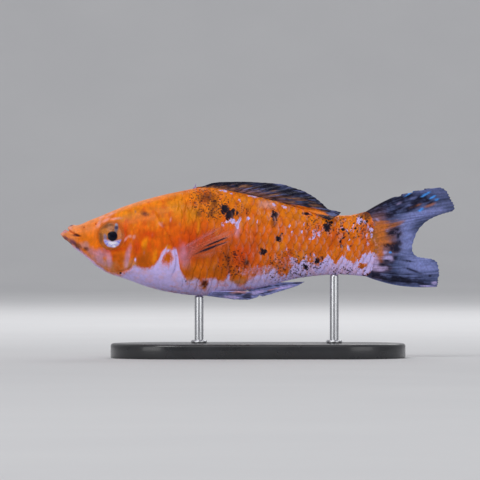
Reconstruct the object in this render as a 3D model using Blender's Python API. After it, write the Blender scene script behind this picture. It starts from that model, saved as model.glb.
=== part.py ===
"""Sailfin molly with a lyre tail, life size, on a plain display stand with two rods.

The fish faces -X and its left side faces -Y. Sizes are in millimetres: x from the middle of the
fish's length, y from its plane of symmetry and z from its body axis, which stands AXIS_HEIGHT above
the floor. Meshes are turned into metres as they are made.
"""

import bisect
import math

import bmesh
import bpy
from mathutils import Vector

MM = 0.001
GAP = 0.3
AXIS_HEIGHT = 24.0

# Side view of the body: (x, z) along the back and along the throat and belly.
BACK = [
    (-38.3, 2.9), (-36.2, 3.2), (-32.2, 4.9), (-27.3, 6.9), (-21.2, 8.8), (-15.9, 10.0),
    (-10.8, 10.8), (-3.7, 9.7), (4.5, 7.8), (12.6, 5.7), (18.3, 5.1), (22.0, 5.9),
]
BELLY = [
    (-38.3, -0.6), (-35.7, -2.9), (-33.4, -5.1), (-30.9, -6.7), (-27.3, -7.9), (-21.2, -10.0),
    (-13.8, -11.3), (-7.7, -11.3), (0.4, -9.8), (8.5, -7.8), (16.7, -7.1), (22.0, -7.5),
]

# Top and front views: half width, height of the widest level, and how flat (under 1) or keeled
# (over 1) the back and the belly are, each along x.
HALF_WIDTH = [
    (-38.3, 2.0), (-36.2, 2.9), (-34.2, 3.5), (-30.0, 4.35), (-24.0, 5.15), (-18.0, 5.55),
    (-12.0, 5.5), (-5.7, 5.0), (0.4, 4.2), (6.5, 3.4), (12.6, 2.7), (18.0, 2.15), (22.0, 1.5),
]
WIDEST_LEVEL = [(-38.3, 1.2), (-34.0, 0.0), (-28.0, -0.8), (-15.0, -1.6), (0.0, -0.8), (22.0, -0.8)]
BACK_KEEL = [(-38.3, 0.7), (-30.0, 0.75), (-22.0, 0.92), (-12.0, 1.2), (6.0, 1.2), (22.0, 1.0)]
BELLY_KEEL = [(-38.3, 0.8), (-28.0, 0.95), (-12.0, 0.9), (2.0, 1.15), (22.0, 1.0)]

# The tail stalk ends in a rounded fan, whose edge is half an ellipse.
STALK_END = 22.0
FAN_DEPTH = 4.1
FAN_TIP_HALF_WIDTH = 0.45
FAN_CENTRE_Z = -0.8
FAN_HALF_HEIGHT = 6.7

# Gill cover: its rear margin, and how far it stands proud of the flank.
GILL_MARGIN = [
    (9.6, -22.2), (6.1, -21.0), (3.7, -19.8), (1.0, -18.2), (-1.6, -17.1), (-3.7, -16.7),
    (-5.7, -16.9), (-7.7, -17.9), (-9.8, -20.0), (-11.6, -22.4),
]
GILL_FLARE = 0.4
GILL_FLARE_START = -25.0
GILL_FLARE_FULL = -18.5
GILL_FLARE_TOP = 4.5
GILL_FLARE_LOW = -9.5
STALK_START = 9.6

# Lower jaw, upper lip and lower lip.
JAW_TOP = [(-40.0, 1.35), (-39.5, 1.75), (-38.4, 1.7), (-36.2, 0.75), (-34.4, -0.4)]
JAW_LOW = [(-40.0, 1.1), (-39.4, 0.45), (-38.0, -0.7), (-36.4, -2.3), (-34.4, -4.15)]
JAW_HALF_WIDTH = [(-40.0, 0.6), (-39.6, 1.3), (-38.5, 1.9), (-36.5, 2.65), (-34.4, 3.15)]
UPPER_LIP = {"corner": (-36.0, 2.65, 1.3), "front": (-38.1, 2.55), "radius": 0.6}
LOWER_LIP = {"corner": (-36.4, 2.45, 0.75), "front": (-39.7, 1.7), "radius": 0.46}
LIP_CORNER_SHARE = 0.6

# Eyes and nostrils.
EYE_CENTRE = (-29.95, 0.95)
EYE_RADIUS = 2.6
EYE_HALF_DEPTH = 1.15
EYE_PROUD = 0.6
ORBIT_RIM_RADIUS = 0.3
NOSTRILS = [(-35.3, 2.3), (-33.0, 3.1)]
NOSTRIL_RADIUS = 0.34

# Fin membranes and the rays raised on them.
MEMBRANE = 0.5
RAY_THICKNESS = 0.92
LOW_RAY_THICKNESS = 0.62
TIP_SHARE = 0.8

# Fins: (share of the way from the first ray to the last, x, z) along the tips.
DORSAL_ROOT = (-13.0, 8.1)
DORSAL_RAYS = 13
DORSAL_TIPS = [
    (0.0, -12.3, 11.75), (0.07, -11.3, 11.25), (0.14, -9.0, 11.65), (0.25, -3.7, 11.8),
    (0.36, 0.8, 11.6), (0.46, 5.1, 11.25), (0.54, 7.2, 10.6), (0.62, 9.6, 9.8),
    (0.70, 11.6, 8.45), (0.77, 13.2, 7.2), (0.84, 14.8, 6.2), (0.92, 16.8, 5.6), (1.0, 14.6, 4.1),
]
DORSAL_DRAPE_START = 0.3
DORSAL_DRAPE = 2.5

CAUDAL_RAYS = 10
CAUDAL_ROOT_ANGLE = math.radians(76)
CAUDAL_TIPS = [
    (0.0, 36.6, 10.9), (0.08, 38.5, 10.3), (0.16, 39.5, 8.2), (0.24, 40.05, 6.4),
    (0.30, 38.7, 5.6), (0.36, 36.8, 5.1), (0.41, 34.7, 4.0), (0.45, 33.1, 2.7),
    (0.48, 32.1, 1.0), (0.51, 31.6, -0.6), (0.55, 31.6, -2.3), (0.59, 32.3, -3.3),
    (0.65, 34.2, -3.8), (0.71, 35.9, -4.2), (0.78, 36.8, -5.3), (0.85, 36.9, -6.8),
    (0.93, 36.7, -8.2), (1.0, 36.2, -9.5),
]
FORK_SHARE = 0.525
FORK_GAP_REACH = 0.15
CAUDAL_ROOT_THICKNESS = 1.1
CAUDAL_SWAY = 1.3

ANAL_ROOT = (-2.5, 2.9)
ANAL_RAYS = 8
ANAL_TIPS = [
    (0.0, 1.0, -11.5), (0.25, 3.6, -10.7), (0.5, 6.1, -9.95), (0.8, 8.2, -9.2), (1.0, 9.5, -8.5),
]

PECTORAL_ROOT = [(0.0, -15.7, -1.7), (1.0, -15.5, -4.1)]
PECTORAL_RAYS = 10
PECTORAL_TIPS = [
    (0.0, -7.5, 3.6), (0.22, -4.7, 3.4), (0.45, -4.0, 2.1), (0.72, -5.5, -0.3), (1.0, -9.4, -3.5),
]
PECTORAL_SPREAD = 2.3

PELVIC_ROOT = [(0.0, -9.3, -10.4), (1.0, -10.2, -11.2)]
PELVIC_RAYS = 6
PELVIC_TIPS = [
    (0.0, -1.0, -10.5), (0.3, 0.3, -11.2), (0.6, -1.4, -12.0), (1.0, -4.9, -12.05),
]
PELVIC_ROOT_Y = (2.4, 1.3)
PELVIC_TIP_Y = (2.9, 1.5)

# Stand.
BASE_LENGTH = 60.0
BASE_WIDTH = 28.0
BASE_THICKNESS = 3.0
BASE_CORNER_SEGMENTS = 12
BASE_EDGE_BEVEL = 0.6
ROD_RADIUS = 0.9
ROD_SIDES = 20
ROD_TOP_CHAMFER = 0.25
ROD_FRONT_X = -12.0
ROD_REAR_X = 15.5

BODY_SIDES = 32
REGION_HALF_WIDTH = 15.0

COLOURS = {
    "skin": (0.80, 0.30, 0.04, 1.0),
    "lips": (0.62, 0.33, 0.25, 1.0),
    "eye": (0.03, 0.03, 0.08, 1.0),
    "fin_dark": (0.10, 0.11, 0.22, 1.0),
    "fin_pale": (0.45, 0.45, 0.66, 1.0),
    "fin_red": (0.72, 0.22, 0.10, 1.0),
    "stand_base": (0.06, 0.06, 0.065, 1.0),
    "stand_rod": (0.62, 0.62, 0.64, 1.0),
}
ROUGHNESS = {"eye": 0.08, "stand_base": 0.3, "stand_rod": 0.25}
METAL = {"stand_rod": 1.0}
DEFAULT_ROUGHNESS = 0.45


def spline(points):
    """A smooth curve through points, as a function of their first number."""
    xs = [p[0] for p in points]
    vs = [p[1] for p in points]
    steps = [(vs[i + 1] - vs[i]) / (xs[i + 1] - xs[i]) for i in range(len(xs) - 1)]
    slopes = [steps[0]] + [(a + b) / 2 for a, b in zip(steps, steps[1:])] + [steps[-1]]

    def at(x):
        x = min(max(x, xs[0]), xs[-1])
        i = min(bisect.bisect_right(xs, x), len(xs) - 1) - 1
        width = xs[i + 1] - xs[i]
        t = (x - xs[i]) / width
        return (
            vs[i] * (1 + 2 * t) * (1 - t) ** 2
            + slopes[i] * width * t * (1 - t) ** 2
            + vs[i + 1] * t * t * (3 - 2 * t)
            + slopes[i + 1] * width * t * t * (t - 1)
        )

    return at


def smooth_step(value, start, end):
    """0 before start, 1 after end, and a smooth rise between them."""
    t = min(max((value - start) / (end - start), 0.0), 1.0)
    return t * t * (3 - 2 * t)


back_line = spline(BACK)
belly_line = spline(BELLY)
half_width_line = spline(HALF_WIDTH)
widest_line = spline(WIDEST_LEVEL)
back_keel = spline(BACK_KEEL)
belly_keel = spline(BELLY_KEEL)
gill_margin = spline(sorted(GILL_MARGIN))


def fan_share(x):
    """How tall the tail fan still is at x, as a share of its full height."""
    return math.sqrt(max(0.0, 1 - max(0.0, (x - STALK_END) / FAN_DEPTH) ** 2))


def section(x, grow=0.0):
    """Top, bottom, widest level and half width of the body at x, all grown outwards by grow."""
    top, low, middle = back_line(x), belly_line(x), widest_line(x)
    width = half_width_line(x)
    if x > STALK_END:
        share = fan_share(x)
        top = FAN_CENTRE_Z + (top - FAN_CENTRE_Z) * share
        low = FAN_CENTRE_Z + (low - FAN_CENTRE_Z) * share
        middle = FAN_CENTRE_Z
        width += (FAN_TIP_HALF_WIDTH - width) * smooth_step(x, STALK_END, STALK_END + FAN_DEPTH)
    return top + grow, low - grow, middle, width + grow


def flank_at(x, z, grow=0.0):
    """How far the body's surface stands from its plane of symmetry at x and height z."""
    top, low, middle, width = section(x, grow)
    if z >= middle:
        share, keel = (z - middle) / (top - middle), back_keel(x)
    else:
        share, keel = (middle - z) / (middle - low), belly_keel(x)
    return width * max(0.0, 1 - share * share) ** (keel / 2)


def ring(x, sides, grow=0.0):
    """(y, z) points round the body at x, from the back down the left side and up the right."""
    top, low, middle, width = section(x, grow)
    points = []
    for k in range(sides):
        turn = 2 * math.pi * k / sides
        up, out = math.cos(turn), math.sin(turn)
        height = top - middle if up >= 0 else middle - low
        keel = back_keel(x) if up >= 0 else belly_keel(x)
        points.append((-math.copysign(abs(out) ** keel * width, out), middle + height * up))
    return points


def head_ring(x, sides):
    """The body's ring with the gill covers standing proud of it."""
    ramp = smooth_step(x, GILL_FLARE_START, GILL_FLARE_FULL)
    points = []
    for y, z in ring(x, sides):
        level = smooth_step(z, GILL_FLARE_LOW, GILL_FLARE_LOW + 3) * (
            1 - smooth_step(z, GILL_FLARE_TOP - 3, GILL_FLARE_TOP)
        )
        points.append((y + math.copysign(GILL_FLARE * ramp * level, y), z))
    return points


def clear_of_body(x, y, z, distance):
    """Moves a point away from the body's core line until it stands distance off the surface."""
    top, low, middle, _ = section(x, distance)
    nearest, farthest = 1.0, 60.0

    def outside(share):
        height = middle + (z - middle) * share
        if not low < height < top:
            return True
        return abs(y * share) >= flank_at(x, height, distance)

    if outside(nearest):
        return y, z
    for _ in range(40):
        share = (nearest + farthest) / 2
        if outside(share):
            farthest = share
        else:
            nearest = share
    return y * farthest, middle + (z - middle) * farthest


def spread(start, end, count):
    """count numbers from start to end, evenly spaced."""
    return [start + (end - start) * i / (count - 1) for i in range(count)]


def material(slot):
    """The plain material of a slot, made once."""
    if slot in bpy.data.materials:
        return bpy.data.materials[slot]
    made = bpy.data.materials.new(slot)
    made.use_nodes = True
    shader = made.node_tree.nodes["Principled BSDF"]
    shader.inputs["Base Color"].default_value = COLOURS[slot]
    shader.inputs["Roughness"].default_value = ROUGHNESS.get(slot, DEFAULT_ROUGHNESS)
    shader.inputs["Metallic"].default_value = METAL.get(slot, 0.0)
    return made


def add_object(name, bm, slot, helper=False):
    """Turns a bmesh in millimetres round the body axis into an object in metres, in place."""
    bm.normal_update()
    bmesh.ops.recalc_face_normals(bm, faces=bm.faces)
    for vert in bm.verts:
        vert.co = (vert.co + Vector((0, 0, AXIS_HEIGHT))) * MM
    mesh = bpy.data.meshes.new(name)
    bm.to_mesh(mesh)
    bm.free()
    made = bpy.data.objects.new(name, mesh)
    bpy.context.scene.collection.objects.link(made)
    made.data.materials.append(material(slot))
    if helper:
        made.hide_render = True
        made.display_type = "WIRE"
    return made


def loft(rings):
    """A closed bmesh through rings of (x, y, z) points, with a fan over each end."""
    bm = bmesh.new()
    loops = [[bm.verts.new(p) for p in points] for points in rings]
    sides = len(loops[0])
    for near, far in zip(loops, loops[1:]):
        for k in range(sides):
            after = (k + 1) % sides
            bm.faces.new((near[k], far[k], far[after], near[after]))
    for loop in (loops[0], loops[-1]):
        centre = sum((v.co for v in loop), Vector()) / sides
        hub = bm.verts.new(centre)
        for k in range(sides):
            bm.faces.new((loop[k], loop[(k + 1) % sides], hub))
    return bm


def body_loft(xs, ring_at):
    """The body lofted through its rings at xs."""
    return loft([[(x, y, z) for y, z in ring_at(x, BODY_SIDES)] for x in xs])


def prism(outline):
    """A closed bmesh: an outline of (x, z) points drawn out to both sides of the fish."""
    return loft([[(x, y, z) for x, z in outline] for y in (-REGION_HALF_WIDTH, REGION_HALF_WIDTH)])


def modify(target, kind, **settings):
    """Adds a modifier to an object."""
    made = target.modifiers.new(kind.title(), kind)
    for key, value in settings.items():
        setattr(made, key, value)
    return made


def apply_modifiers(target):
    """Replaces an object's mesh with what its modifiers make of it."""
    bpy.context.view_layer.update()
    graph = bpy.context.evaluated_depsgraph_get()
    mesh = bpy.data.meshes.new_from_object(target.evaluated_get(graph))
    target.modifiers.clear()
    target.data = mesh


def combine(target, pieces, operation):
    """Joins pieces to the target, or cuts them from it, in one applied Boolean, and removes them."""
    group = bpy.data.collections.new(target.name + "_pieces")
    bpy.context.scene.collection.children.link(group)
    for piece in pieces:
        bpy.context.scene.collection.objects.unlink(piece)
        group.objects.link(piece)
    modify(
        target, "BOOLEAN", operation=operation, solver="EXACT",
        operand_type="COLLECTION", collection=group,
    )
    apply_modifiers(target)
    for piece in pieces:
        bpy.data.objects.remove(piece)
    bpy.data.collections.remove(group)
    keep_largest(target)


def keep_region(target, region):
    """Keeps only what of the target lies in the region, and removes the region."""
    modify(target, "BOOLEAN", operation="INTERSECT", solver="EXACT", object=region)
    apply_modifiers(target)
    bpy.data.objects.remove(region)
    keep_largest(target)


def keep_largest(target):
    """Leaves only the largest connected surface of a mesh, and splits its faces into triangles."""
    bm = bmesh.new()
    bm.from_mesh(target.data)
    bmesh.ops.remove_doubles(bm, verts=bm.verts, dist=1e-7)
    left = set(bm.verts)
    islands = []
    while left:
        island, front = set(), [left.pop()]
        while front:
            vert = front.pop()
            island.add(vert)
            for edge in vert.link_edges:
                other = edge.other_vert(vert)
                if other in left:
                    left.discard(other)
                    front.append(other)
        islands.append(island)
    largest = max(islands, key=len)
    scraps = [v for island in islands if island is not largest for v in island]
    bmesh.ops.delete(bm, geom=scraps, context="VERTS")
    bmesh.ops.triangulate(bm, faces=bm.faces)
    bm.to_mesh(target.data)
    bm.free()


def finish_round(target, degrees=35):
    """Shades a piece smooth but for its sharp edges."""
    target.data.shade_smooth()
    target.data.set_sharp_from_angle(angle=math.radians(degrees))


def lip_tube(lip, grow=0.0, steps=13, sides=8):
    """A closed roll that bends round the front of the mouth from corner to corner."""
    corner_x, corner_y, corner_z = lip["corner"]
    front_x, front_z = lip["front"]
    path, radii = [], []
    for turn in spread(-math.pi / 2, math.pi / 2, steps):
        forward = math.cos(turn)
        path.append(Vector((
            corner_x + (front_x - corner_x) * forward,
            corner_y * math.sin(turn),
            corner_z + (front_z - corner_z) * forward,
        )))
        share = LIP_CORNER_SHARE + (1 - LIP_CORNER_SHARE) * forward
        radii.append(lip["radius"] * share + grow)
    rings = []
    for i, (point, radius) in enumerate(zip(path, radii)):
        along = (path[min(i + 1, steps - 1)] - path[max(i - 1, 0)]).normalized()
        up = Vector((0, 0, 1))
        out = along.cross(up).normalized()
        up = out.cross(along)
        rings.append([
            point + (out * math.cos(a) + up * math.sin(a)) * radius
            for a in (2 * math.pi * k / sides for k in range(sides))
        ])
    return loft(rings)


def jaw_loft(grow=0.0, sides=20):
    """The lower jaw as a scoop, its rear end inside the head."""
    top, low, wide = spline(JAW_TOP), spline(JAW_LOW), spline(JAW_HALF_WIDTH)
    front, rear = JAW_TOP[0][0], JAW_TOP[-1][0]
    rings = []
    for share in (0.0, 0.05, 0.12, 0.22, 0.36, 0.52, 0.7, 0.86, 1.0):
        x = front + (rear - front) * share
        middle = (top(x) + low(x)) / 2
        half_height = (top(x) - low(x)) / 2 + grow
        place = x + grow * (2 * share - 1)
        rings.append([
            (place, (wide(x) + grow) * math.sin(a), middle + half_height * math.cos(a))
            for a in (2 * math.pi * k / sides for k in range(sides))
        ])
    return loft(rings)


def side_direction(x, z):
    """The direction in which the left flank faces at x and z."""
    step = 0.4
    along = (flank_at(x + step, z) - flank_at(x - step, z)) / (2 * step)
    upward = (flank_at(x, z + step) - flank_at(x, z - step)) / (2 * step)
    return Vector((-along, -1.0, -upward)).normalized()


def eye_shape(side, grow=0.0):
    """A flattened ball at the eye's place on one side, +1 right or -1 left, facing outwards."""
    x, z = EYE_CENTRE
    facing = side_direction(x, z)
    skin = Vector((x, -flank_at(x, z), z))
    centre = skin + facing * (EYE_PROUD - EYE_HALF_DEPTH)
    bm = bmesh.new()
    bmesh.ops.create_uvsphere(bm, u_segments=20, v_segments=11, radius=1.0)
    turn = Vector((0, 0, 1)).rotation_difference(facing)
    for vert in bm.verts:
        flat = Vector((
            vert.co.x * (EYE_RADIUS + grow),
            vert.co.y * (EYE_RADIUS + grow),
            vert.co.z * (EYE_HALF_DEPTH + grow),
        ))
        vert.co = centre + turn @ flat
        if side > 0:
            vert.co.y = -vert.co.y
    return bm


def orbit_rim(side, segments=24, sides=6):
    """A soft ring of skin round the eye."""
    x, z = EYE_CENTRE
    facing = side_direction(x, z)
    turn = Vector((0, 0, 1)).rotation_difference(facing)
    centre = Vector((x, -flank_at(x, z), z)) - facing * 0.1
    bm = bmesh.new()
    loops = []
    for i in range(segments):
        a = 2 * math.pi * i / segments
        loop = []
        for k in range(sides):
            b = 2 * math.pi * k / sides
            reach = EYE_RADIUS + ORBIT_RIM_RADIUS * math.cos(b)
            flat = Vector((reach * math.cos(a), reach * math.sin(a), ORBIT_RIM_RADIUS * math.sin(b)))
            point = centre + turn @ flat
            if side > 0:
                point.y = -point.y
            loop.append(bm.verts.new(point))
        loops.append(loop)
    for near, far in zip(loops, loops[1:] + loops[:1]):
        for k in range(sides):
            after = (k + 1) % sides
            bm.faces.new((near[k], far[k], far[after], near[after]))
    return bm


def nostril_pit(x, z, side):
    """A small ball on the surface that cuts one nostril."""
    bm = bmesh.new()
    bmesh.ops.create_icosphere(bm, subdivisions=1, radius=NOSTRIL_RADIUS)
    for vert in bm.verts:
        vert.co += Vector((x, side * flank_at(x, z), z))
    return bm


def make_head():
    """Head with gill covers, upper lip, eye sockets and nostrils, and room for the lower jaw."""
    xs = [-38.3, -38.0, -37.4, -36.5, -35.4, -34.2, -33.0, -31.6, -30.0, -28.4, -26.8, -25.2,
          -23.6, -22.0, -20.5, -19.2, -18.0, -17.0, -15.9]
    head = add_object("head", body_loft(xs, head_ring), "skin")
    outline = [(gill_margin(z), z) for z in spread(9.6, -11.6, 22)]
    outline += [(outline[-1][0], -16.0), (-45.0, -16.0), (-45.0, 16.0), (outline[0][0], 16.0)]
    keep_region(head, add_object("head_region", prism(outline), "skin", helper=True))
    rims = [add_object(f"orbit_rim_{side}", orbit_rim(side), "skin") for side in (-1, 1)]
    lip = add_object("upper_lip_roll", lip_tube(UPPER_LIP), "skin")
    combine(head, rims + [lip], "UNION")
    cutters = [add_object(f"socket_{side}", eye_shape(side, GAP), "skin", helper=True)
               for side in (-1, 1)]
    cutters.append(add_object("jaw_room", jaw_loft(GAP), "skin", helper=True))
    cutters.append(add_object("lip_room", lip_tube(LOWER_LIP, GAP), "skin", helper=True))
    cutters += [
        add_object(f"nostril_{place[0]}_{side}", nostril_pit(*place, side), "skin", helper=True)
        for place in NOSTRILS for side in (-1, 1)
    ]
    for cutter in cutters:
        combine(head, [cutter], "DIFFERENCE")
    finish_round(head)


def make_lower_jaw():
    """Lower jaw with its lip."""
    jaw = add_object("lower_jaw", jaw_loft(), "lips")
    combine(jaw, [add_object("lower_lip_roll", lip_tube(LOWER_LIP), "lips")], "UNION")
    finish_round(jaw)


def make_torso():
    """Trunk from the gill covers to the tail stalk."""
    xs = spread(-24.0, STALK_START + 0.5, 22)
    torso = add_object("torso", body_loft(xs, ring), "skin")
    outline = [(gill_margin(z) + GAP, z) for z in spread(9.6, -11.6, 22)]
    outline += [(outline[-1][0], -16.0), (STALK_START - GAP, -16.0), (STALK_START - GAP, 16.0),
                (outline[0][0], 16.0)]
    keep_region(torso, add_object("torso_region", prism(outline), "skin", helper=True))
    finish_round(torso)


def make_tail_stalk():
    """Tail stalk, ending in the rounded fan that carries the tail fin."""
    xs = spread(STALK_START, STALK_END, 9)
    xs += [STALK_END + FAN_DEPTH * math.sin(a) for a in spread(0.25, 1.42, 7)]
    stalk = add_object("tail_stalk", body_loft(xs, ring), "skin")
    keep_largest(stalk)
    finish_round(stalk)


def make_eyes():
    """Both eyes."""
    for name, side in (("eye_left", -1), ("eye_right", 1)):
        finish_round(add_object(name, eye_shape(side), "eye"), 180)


def make_fin(name, slot, blade, rays, steps, ray=RAY_THICKNESS, root=None):
    """A membrane with rays raised on both faces, ray thick and root thick where they begin.

    blade(u, v) gives its middle surface, u from the first ray to the last and v from root to tip.
    """
    root = root or ray
    bm = bmesh.new()
    columns = 2 * rays - 1
    grid = [
        [bm.verts.new(blade(c / (columns - 1), r / steps)) for r in range(steps + 1)]
        for c in range(columns)
    ]
    weights = []
    for c in range(columns):
        for r in range(steps + 1):
            along = r / steps
            full = ray if c % 2 == 0 else MEMBRANE
            at_root = root * full / ray
            weights.append(at_root + (full * TIP_SHARE - at_root) * along ** 0.6)
    for c in range(columns - 1):
        for r in range(steps):
            a, b = grid[c][r], grid[c + 1][r]
            d, e = grid[c][r + 1], grid[c + 1][r + 1]
            if c % 2 == 0:
                bm.faces.new((a, b, e))
                bm.faces.new((a, e, d))
            else:
                bm.faces.new((a, b, d))
                bm.faces.new((b, e, d))
    fin = add_object(name, bm, slot)
    group = fin.vertex_groups.new(name="thickness")
    greatest = max(weights)
    for index, weight in enumerate(weights):
        group.add([index], weight / greatest, "REPLACE")
    modify(
        fin, "SOLIDIFY", thickness=greatest * MM, offset=0.0, use_rim=True,
        vertex_group="thickness", thickness_vertex_group=0.0,
    )
    apply_modifiers(fin)
    keep_largest(fin)
    finish_round(fin, 60)
    return fin


def tips_of(points):
    """The tip of the ray at each share u, as a function giving (x, z)."""
    xs = spline([(u, x) for u, x, _ in points])
    zs = spline([(u, z) for u, _, z in points])
    return lambda u: (xs(u), zs(u))


def dorsal_blade(u, v):
    """Dorsal fin laid back along the spine, its last rays draped over the left flank."""
    root_x = DORSAL_ROOT[0] + (DORSAL_ROOT[1] - DORSAL_ROOT[0]) * u
    root_z = back_line(root_x) + GAP + 0.05
    tip_x, tip_z = tips_of(DORSAL_TIPS)(u)
    x = root_x + (tip_x - root_x) * v
    z = root_z + (tip_z - root_z) * v
    laid = smooth_step(u, DORSAL_DRAPE_START, 1.0)
    y = -DORSAL_DRAPE * laid * v
    off = GAP + 0.05 + 0.3 * v + LOW_RAY_THICKNESS / 2 * laid * smooth_step(v, 0.0, 0.7)
    y, z = clear_of_body(x, y, z, off)
    return Vector((x, y, z))


def caudal_blade(u, v):
    """Tail fin, its rays spread from the edge of the fan and bent a little to the right."""
    angle = CAUDAL_ROOT_ANGLE * (1 - 2 * u)
    root_x = STALK_END + (FAN_DEPTH + GAP) * math.cos(angle)
    root_z = FAN_CENTRE_Z + (FAN_HALF_HEIGHT + GAP) * math.sin(angle)
    tip_x, tip_z = tips_of(CAUDAL_TIPS)(u)
    bow = 0.3 * (1 - smooth_step(u, 0.0, 0.3)) - 0.6 * smooth_step(u, 0.6, 1.0)
    x = root_x + (tip_x - root_x) * v
    z = root_z + (tip_z - root_z) * v + bow * math.sin(math.pi * v)
    y = CAUDAL_SWAY * (max(0.0, x - STALK_END) / (tip_x - STALK_END)) ** 2 * v
    return Vector((x, y, z))


def caudal_half(lower):
    """The upper or the lower half of the tail fin, drawn back by half a gap from the other."""

    def blade(u, v):
        share = FORK_SHARE + (1 - FORK_SHARE) * u if lower else FORK_SHARE * u
        point = caudal_blade(share, v)
        near_fork = max(0.0, 1 - abs(share - FORK_SHARE) / FORK_GAP_REACH)
        point.z += (-1 if lower else 1) * GAP / 2 * near_fork
        return point

    return blade


def anal_blade(u, v):
    """Anal fin, folded back under the belly."""
    root_x = ANAL_ROOT[0] + (ANAL_ROOT[1] - ANAL_ROOT[0]) * u
    root_z = belly_line(root_x) - GAP - 0.05
    tip_x, tip_z = tips_of(ANAL_TIPS)(u)
    x = root_x + (tip_x - root_x) * v
    z = root_z + (tip_z - root_z) * v
    _, z = clear_of_body(x, 0.0, z, GAP + 0.1)
    return Vector((x, 0.0, z))


def pectoral_blade(side):
    """Pectoral fin of one side, laid back and up along the flank and standing a little off it."""
    roots, tips = tips_of(PECTORAL_ROOT), tips_of(PECTORAL_TIPS)

    def blade(u, v):
        root_x, root_z = roots(u)
        tip_x, tip_z = tips(u)
        off = GAP + RAY_THICKNESS / 2
        root_y = flank_at(root_x, root_z, off)
        x = root_x + (tip_x - root_x) * v
        z = root_z + (tip_z - root_z) * v
        y = root_y + PECTORAL_SPREAD * v ** 1.3
        y, z = clear_of_body(x, y, z, off)
        return Vector((x, side * y, z))

    return blade


def pelvic_blade(side):
    """Pelvic fin of one side, folded back along the belly."""
    roots, tips = tips_of(PELVIC_ROOT), tips_of(PELVIC_TIPS)

    def blade(u, v):
        root_x, root_z = roots(u)
        tip_x, tip_z = tips(u)
        root_y = PELVIC_ROOT_Y[0] + (PELVIC_ROOT_Y[1] - PELVIC_ROOT_Y[0]) * u
        tip_y = PELVIC_TIP_Y[0] + (PELVIC_TIP_Y[1] - PELVIC_TIP_Y[0]) * u
        x = root_x + (tip_x - root_x) * v
        y = root_y + (tip_y - root_y) * v
        z = root_z + (tip_z - root_z) * v
        y, z = clear_of_body(x, y, z, GAP + LOW_RAY_THICKNESS / 2 + 0.15 * v)
        return Vector((x, side * y, z))

    return blade


def make_fins():
    """All fins. The tail fin is two nodes, which meet at the middle of its fork."""
    make_fin("dorsal_fin", "fin_dark", dorsal_blade, DORSAL_RAYS, 8, LOW_RAY_THICKNESS)
    for name, slot, lower in (("upper", "fin_dark", False), ("lower", "fin_pale", True)):
        make_fin(
            f"caudal_fin_{name}", slot, caudal_half(lower), CAUDAL_RAYS, 10,
            root=CAUDAL_ROOT_THICKNESS,
        )
    make_fin("anal_fin", "fin_pale", anal_blade, ANAL_RAYS, 6)
    for name, side in (("left", -1), ("right", 1)):
        make_fin(f"pectoral_fin_{name}", "fin_red", pectoral_blade(side), PECTORAL_RAYS, 7)
        make_fin(
            f"pelvic_fin_{name}", "fin_pale", pelvic_blade(side), PELVIC_RAYS, 6,
            LOW_RAY_THICKNESS,
        )


def make_stand():
    """A plate with round ends, and two rods that reach up to the belly and the tail stalk."""
    bm = bmesh.new()
    radius = BASE_WIDTH / 2
    reach = BASE_LENGTH / 2 - radius
    rim = []
    for centre, start in ((reach, -90), (-reach, 90)):
        for i in range(BASE_CORNER_SEGMENTS + 1):
            a = math.radians(start + 180 * i / BASE_CORNER_SEGMENTS)
            rim.append(bm.verts.new((centre + radius * math.cos(a), radius * math.sin(a), -AXIS_HEIGHT)))
    plate = bm.faces.new(rim)
    grown = bmesh.ops.extrude_face_region(bm, geom=[plate])
    top = [g for g in grown["geom"] if isinstance(g, bmesh.types.BMVert)]
    bmesh.ops.translate(bm, vec=(0, 0, BASE_THICKNESS), verts=top)
    top_edges = [e for e in bm.edges if all(v in top for v in e.verts)]
    bmesh.ops.bevel(bm, geom=top_edges, offset=BASE_EDGE_BEVEL, segments=2, profile=0.5, affect="EDGES")
    base = add_object("stand_base", bm, "stand_base")
    finish_round(base)
    for name, x in (("stand_rod_front", ROD_FRONT_X), ("stand_rod_rear", ROD_REAR_X)):
        foot = BASE_THICKNESS + GAP - AXIS_HEIGHT
        head = min(belly_line(x - ROD_RADIUS), belly_line(x), belly_line(x + ROD_RADIUS)) - GAP
        bm = bmesh.new()
        bmesh.ops.create_cone(
            bm, cap_ends=True, segments=ROD_SIDES, radius1=ROD_RADIUS, radius2=ROD_RADIUS,
            depth=head - foot,
        )
        bmesh.ops.translate(bm, vec=(x, 0, (head + foot) / 2), verts=bm.verts)
        upper = [e for e in bm.edges if all(v.co.z > head - 0.01 for v in e.verts)]
        bmesh.ops.bevel(bm, geom=upper, offset=ROD_TOP_CHAMFER, segments=1, affect="EDGES")
        finish_round(add_object(name, bm, "stand_rod"))


def main():
    """Clears the scene and builds every piece."""
    for old in list(bpy.data.objects):
        bpy.data.objects.remove(old)
    make_head()
    make_lower_jaw()
    make_torso()
    make_tail_stalk()
    make_eyes()
    make_fins()
    make_stand()


main()
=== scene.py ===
"""Looks of a calico sailfin molly on its stand: skin, scales, fins, eyes, stand and studio.

The fish faces -X and its left side faces -Y. Sizes are in millimetres: x from the middle of the
fish's length, y from its plane of symmetry and z from its body axis, which stands AXIS_HEIGHT above
the floor. Points are turned into metres as they go into a mesh.
"""

import math

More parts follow.
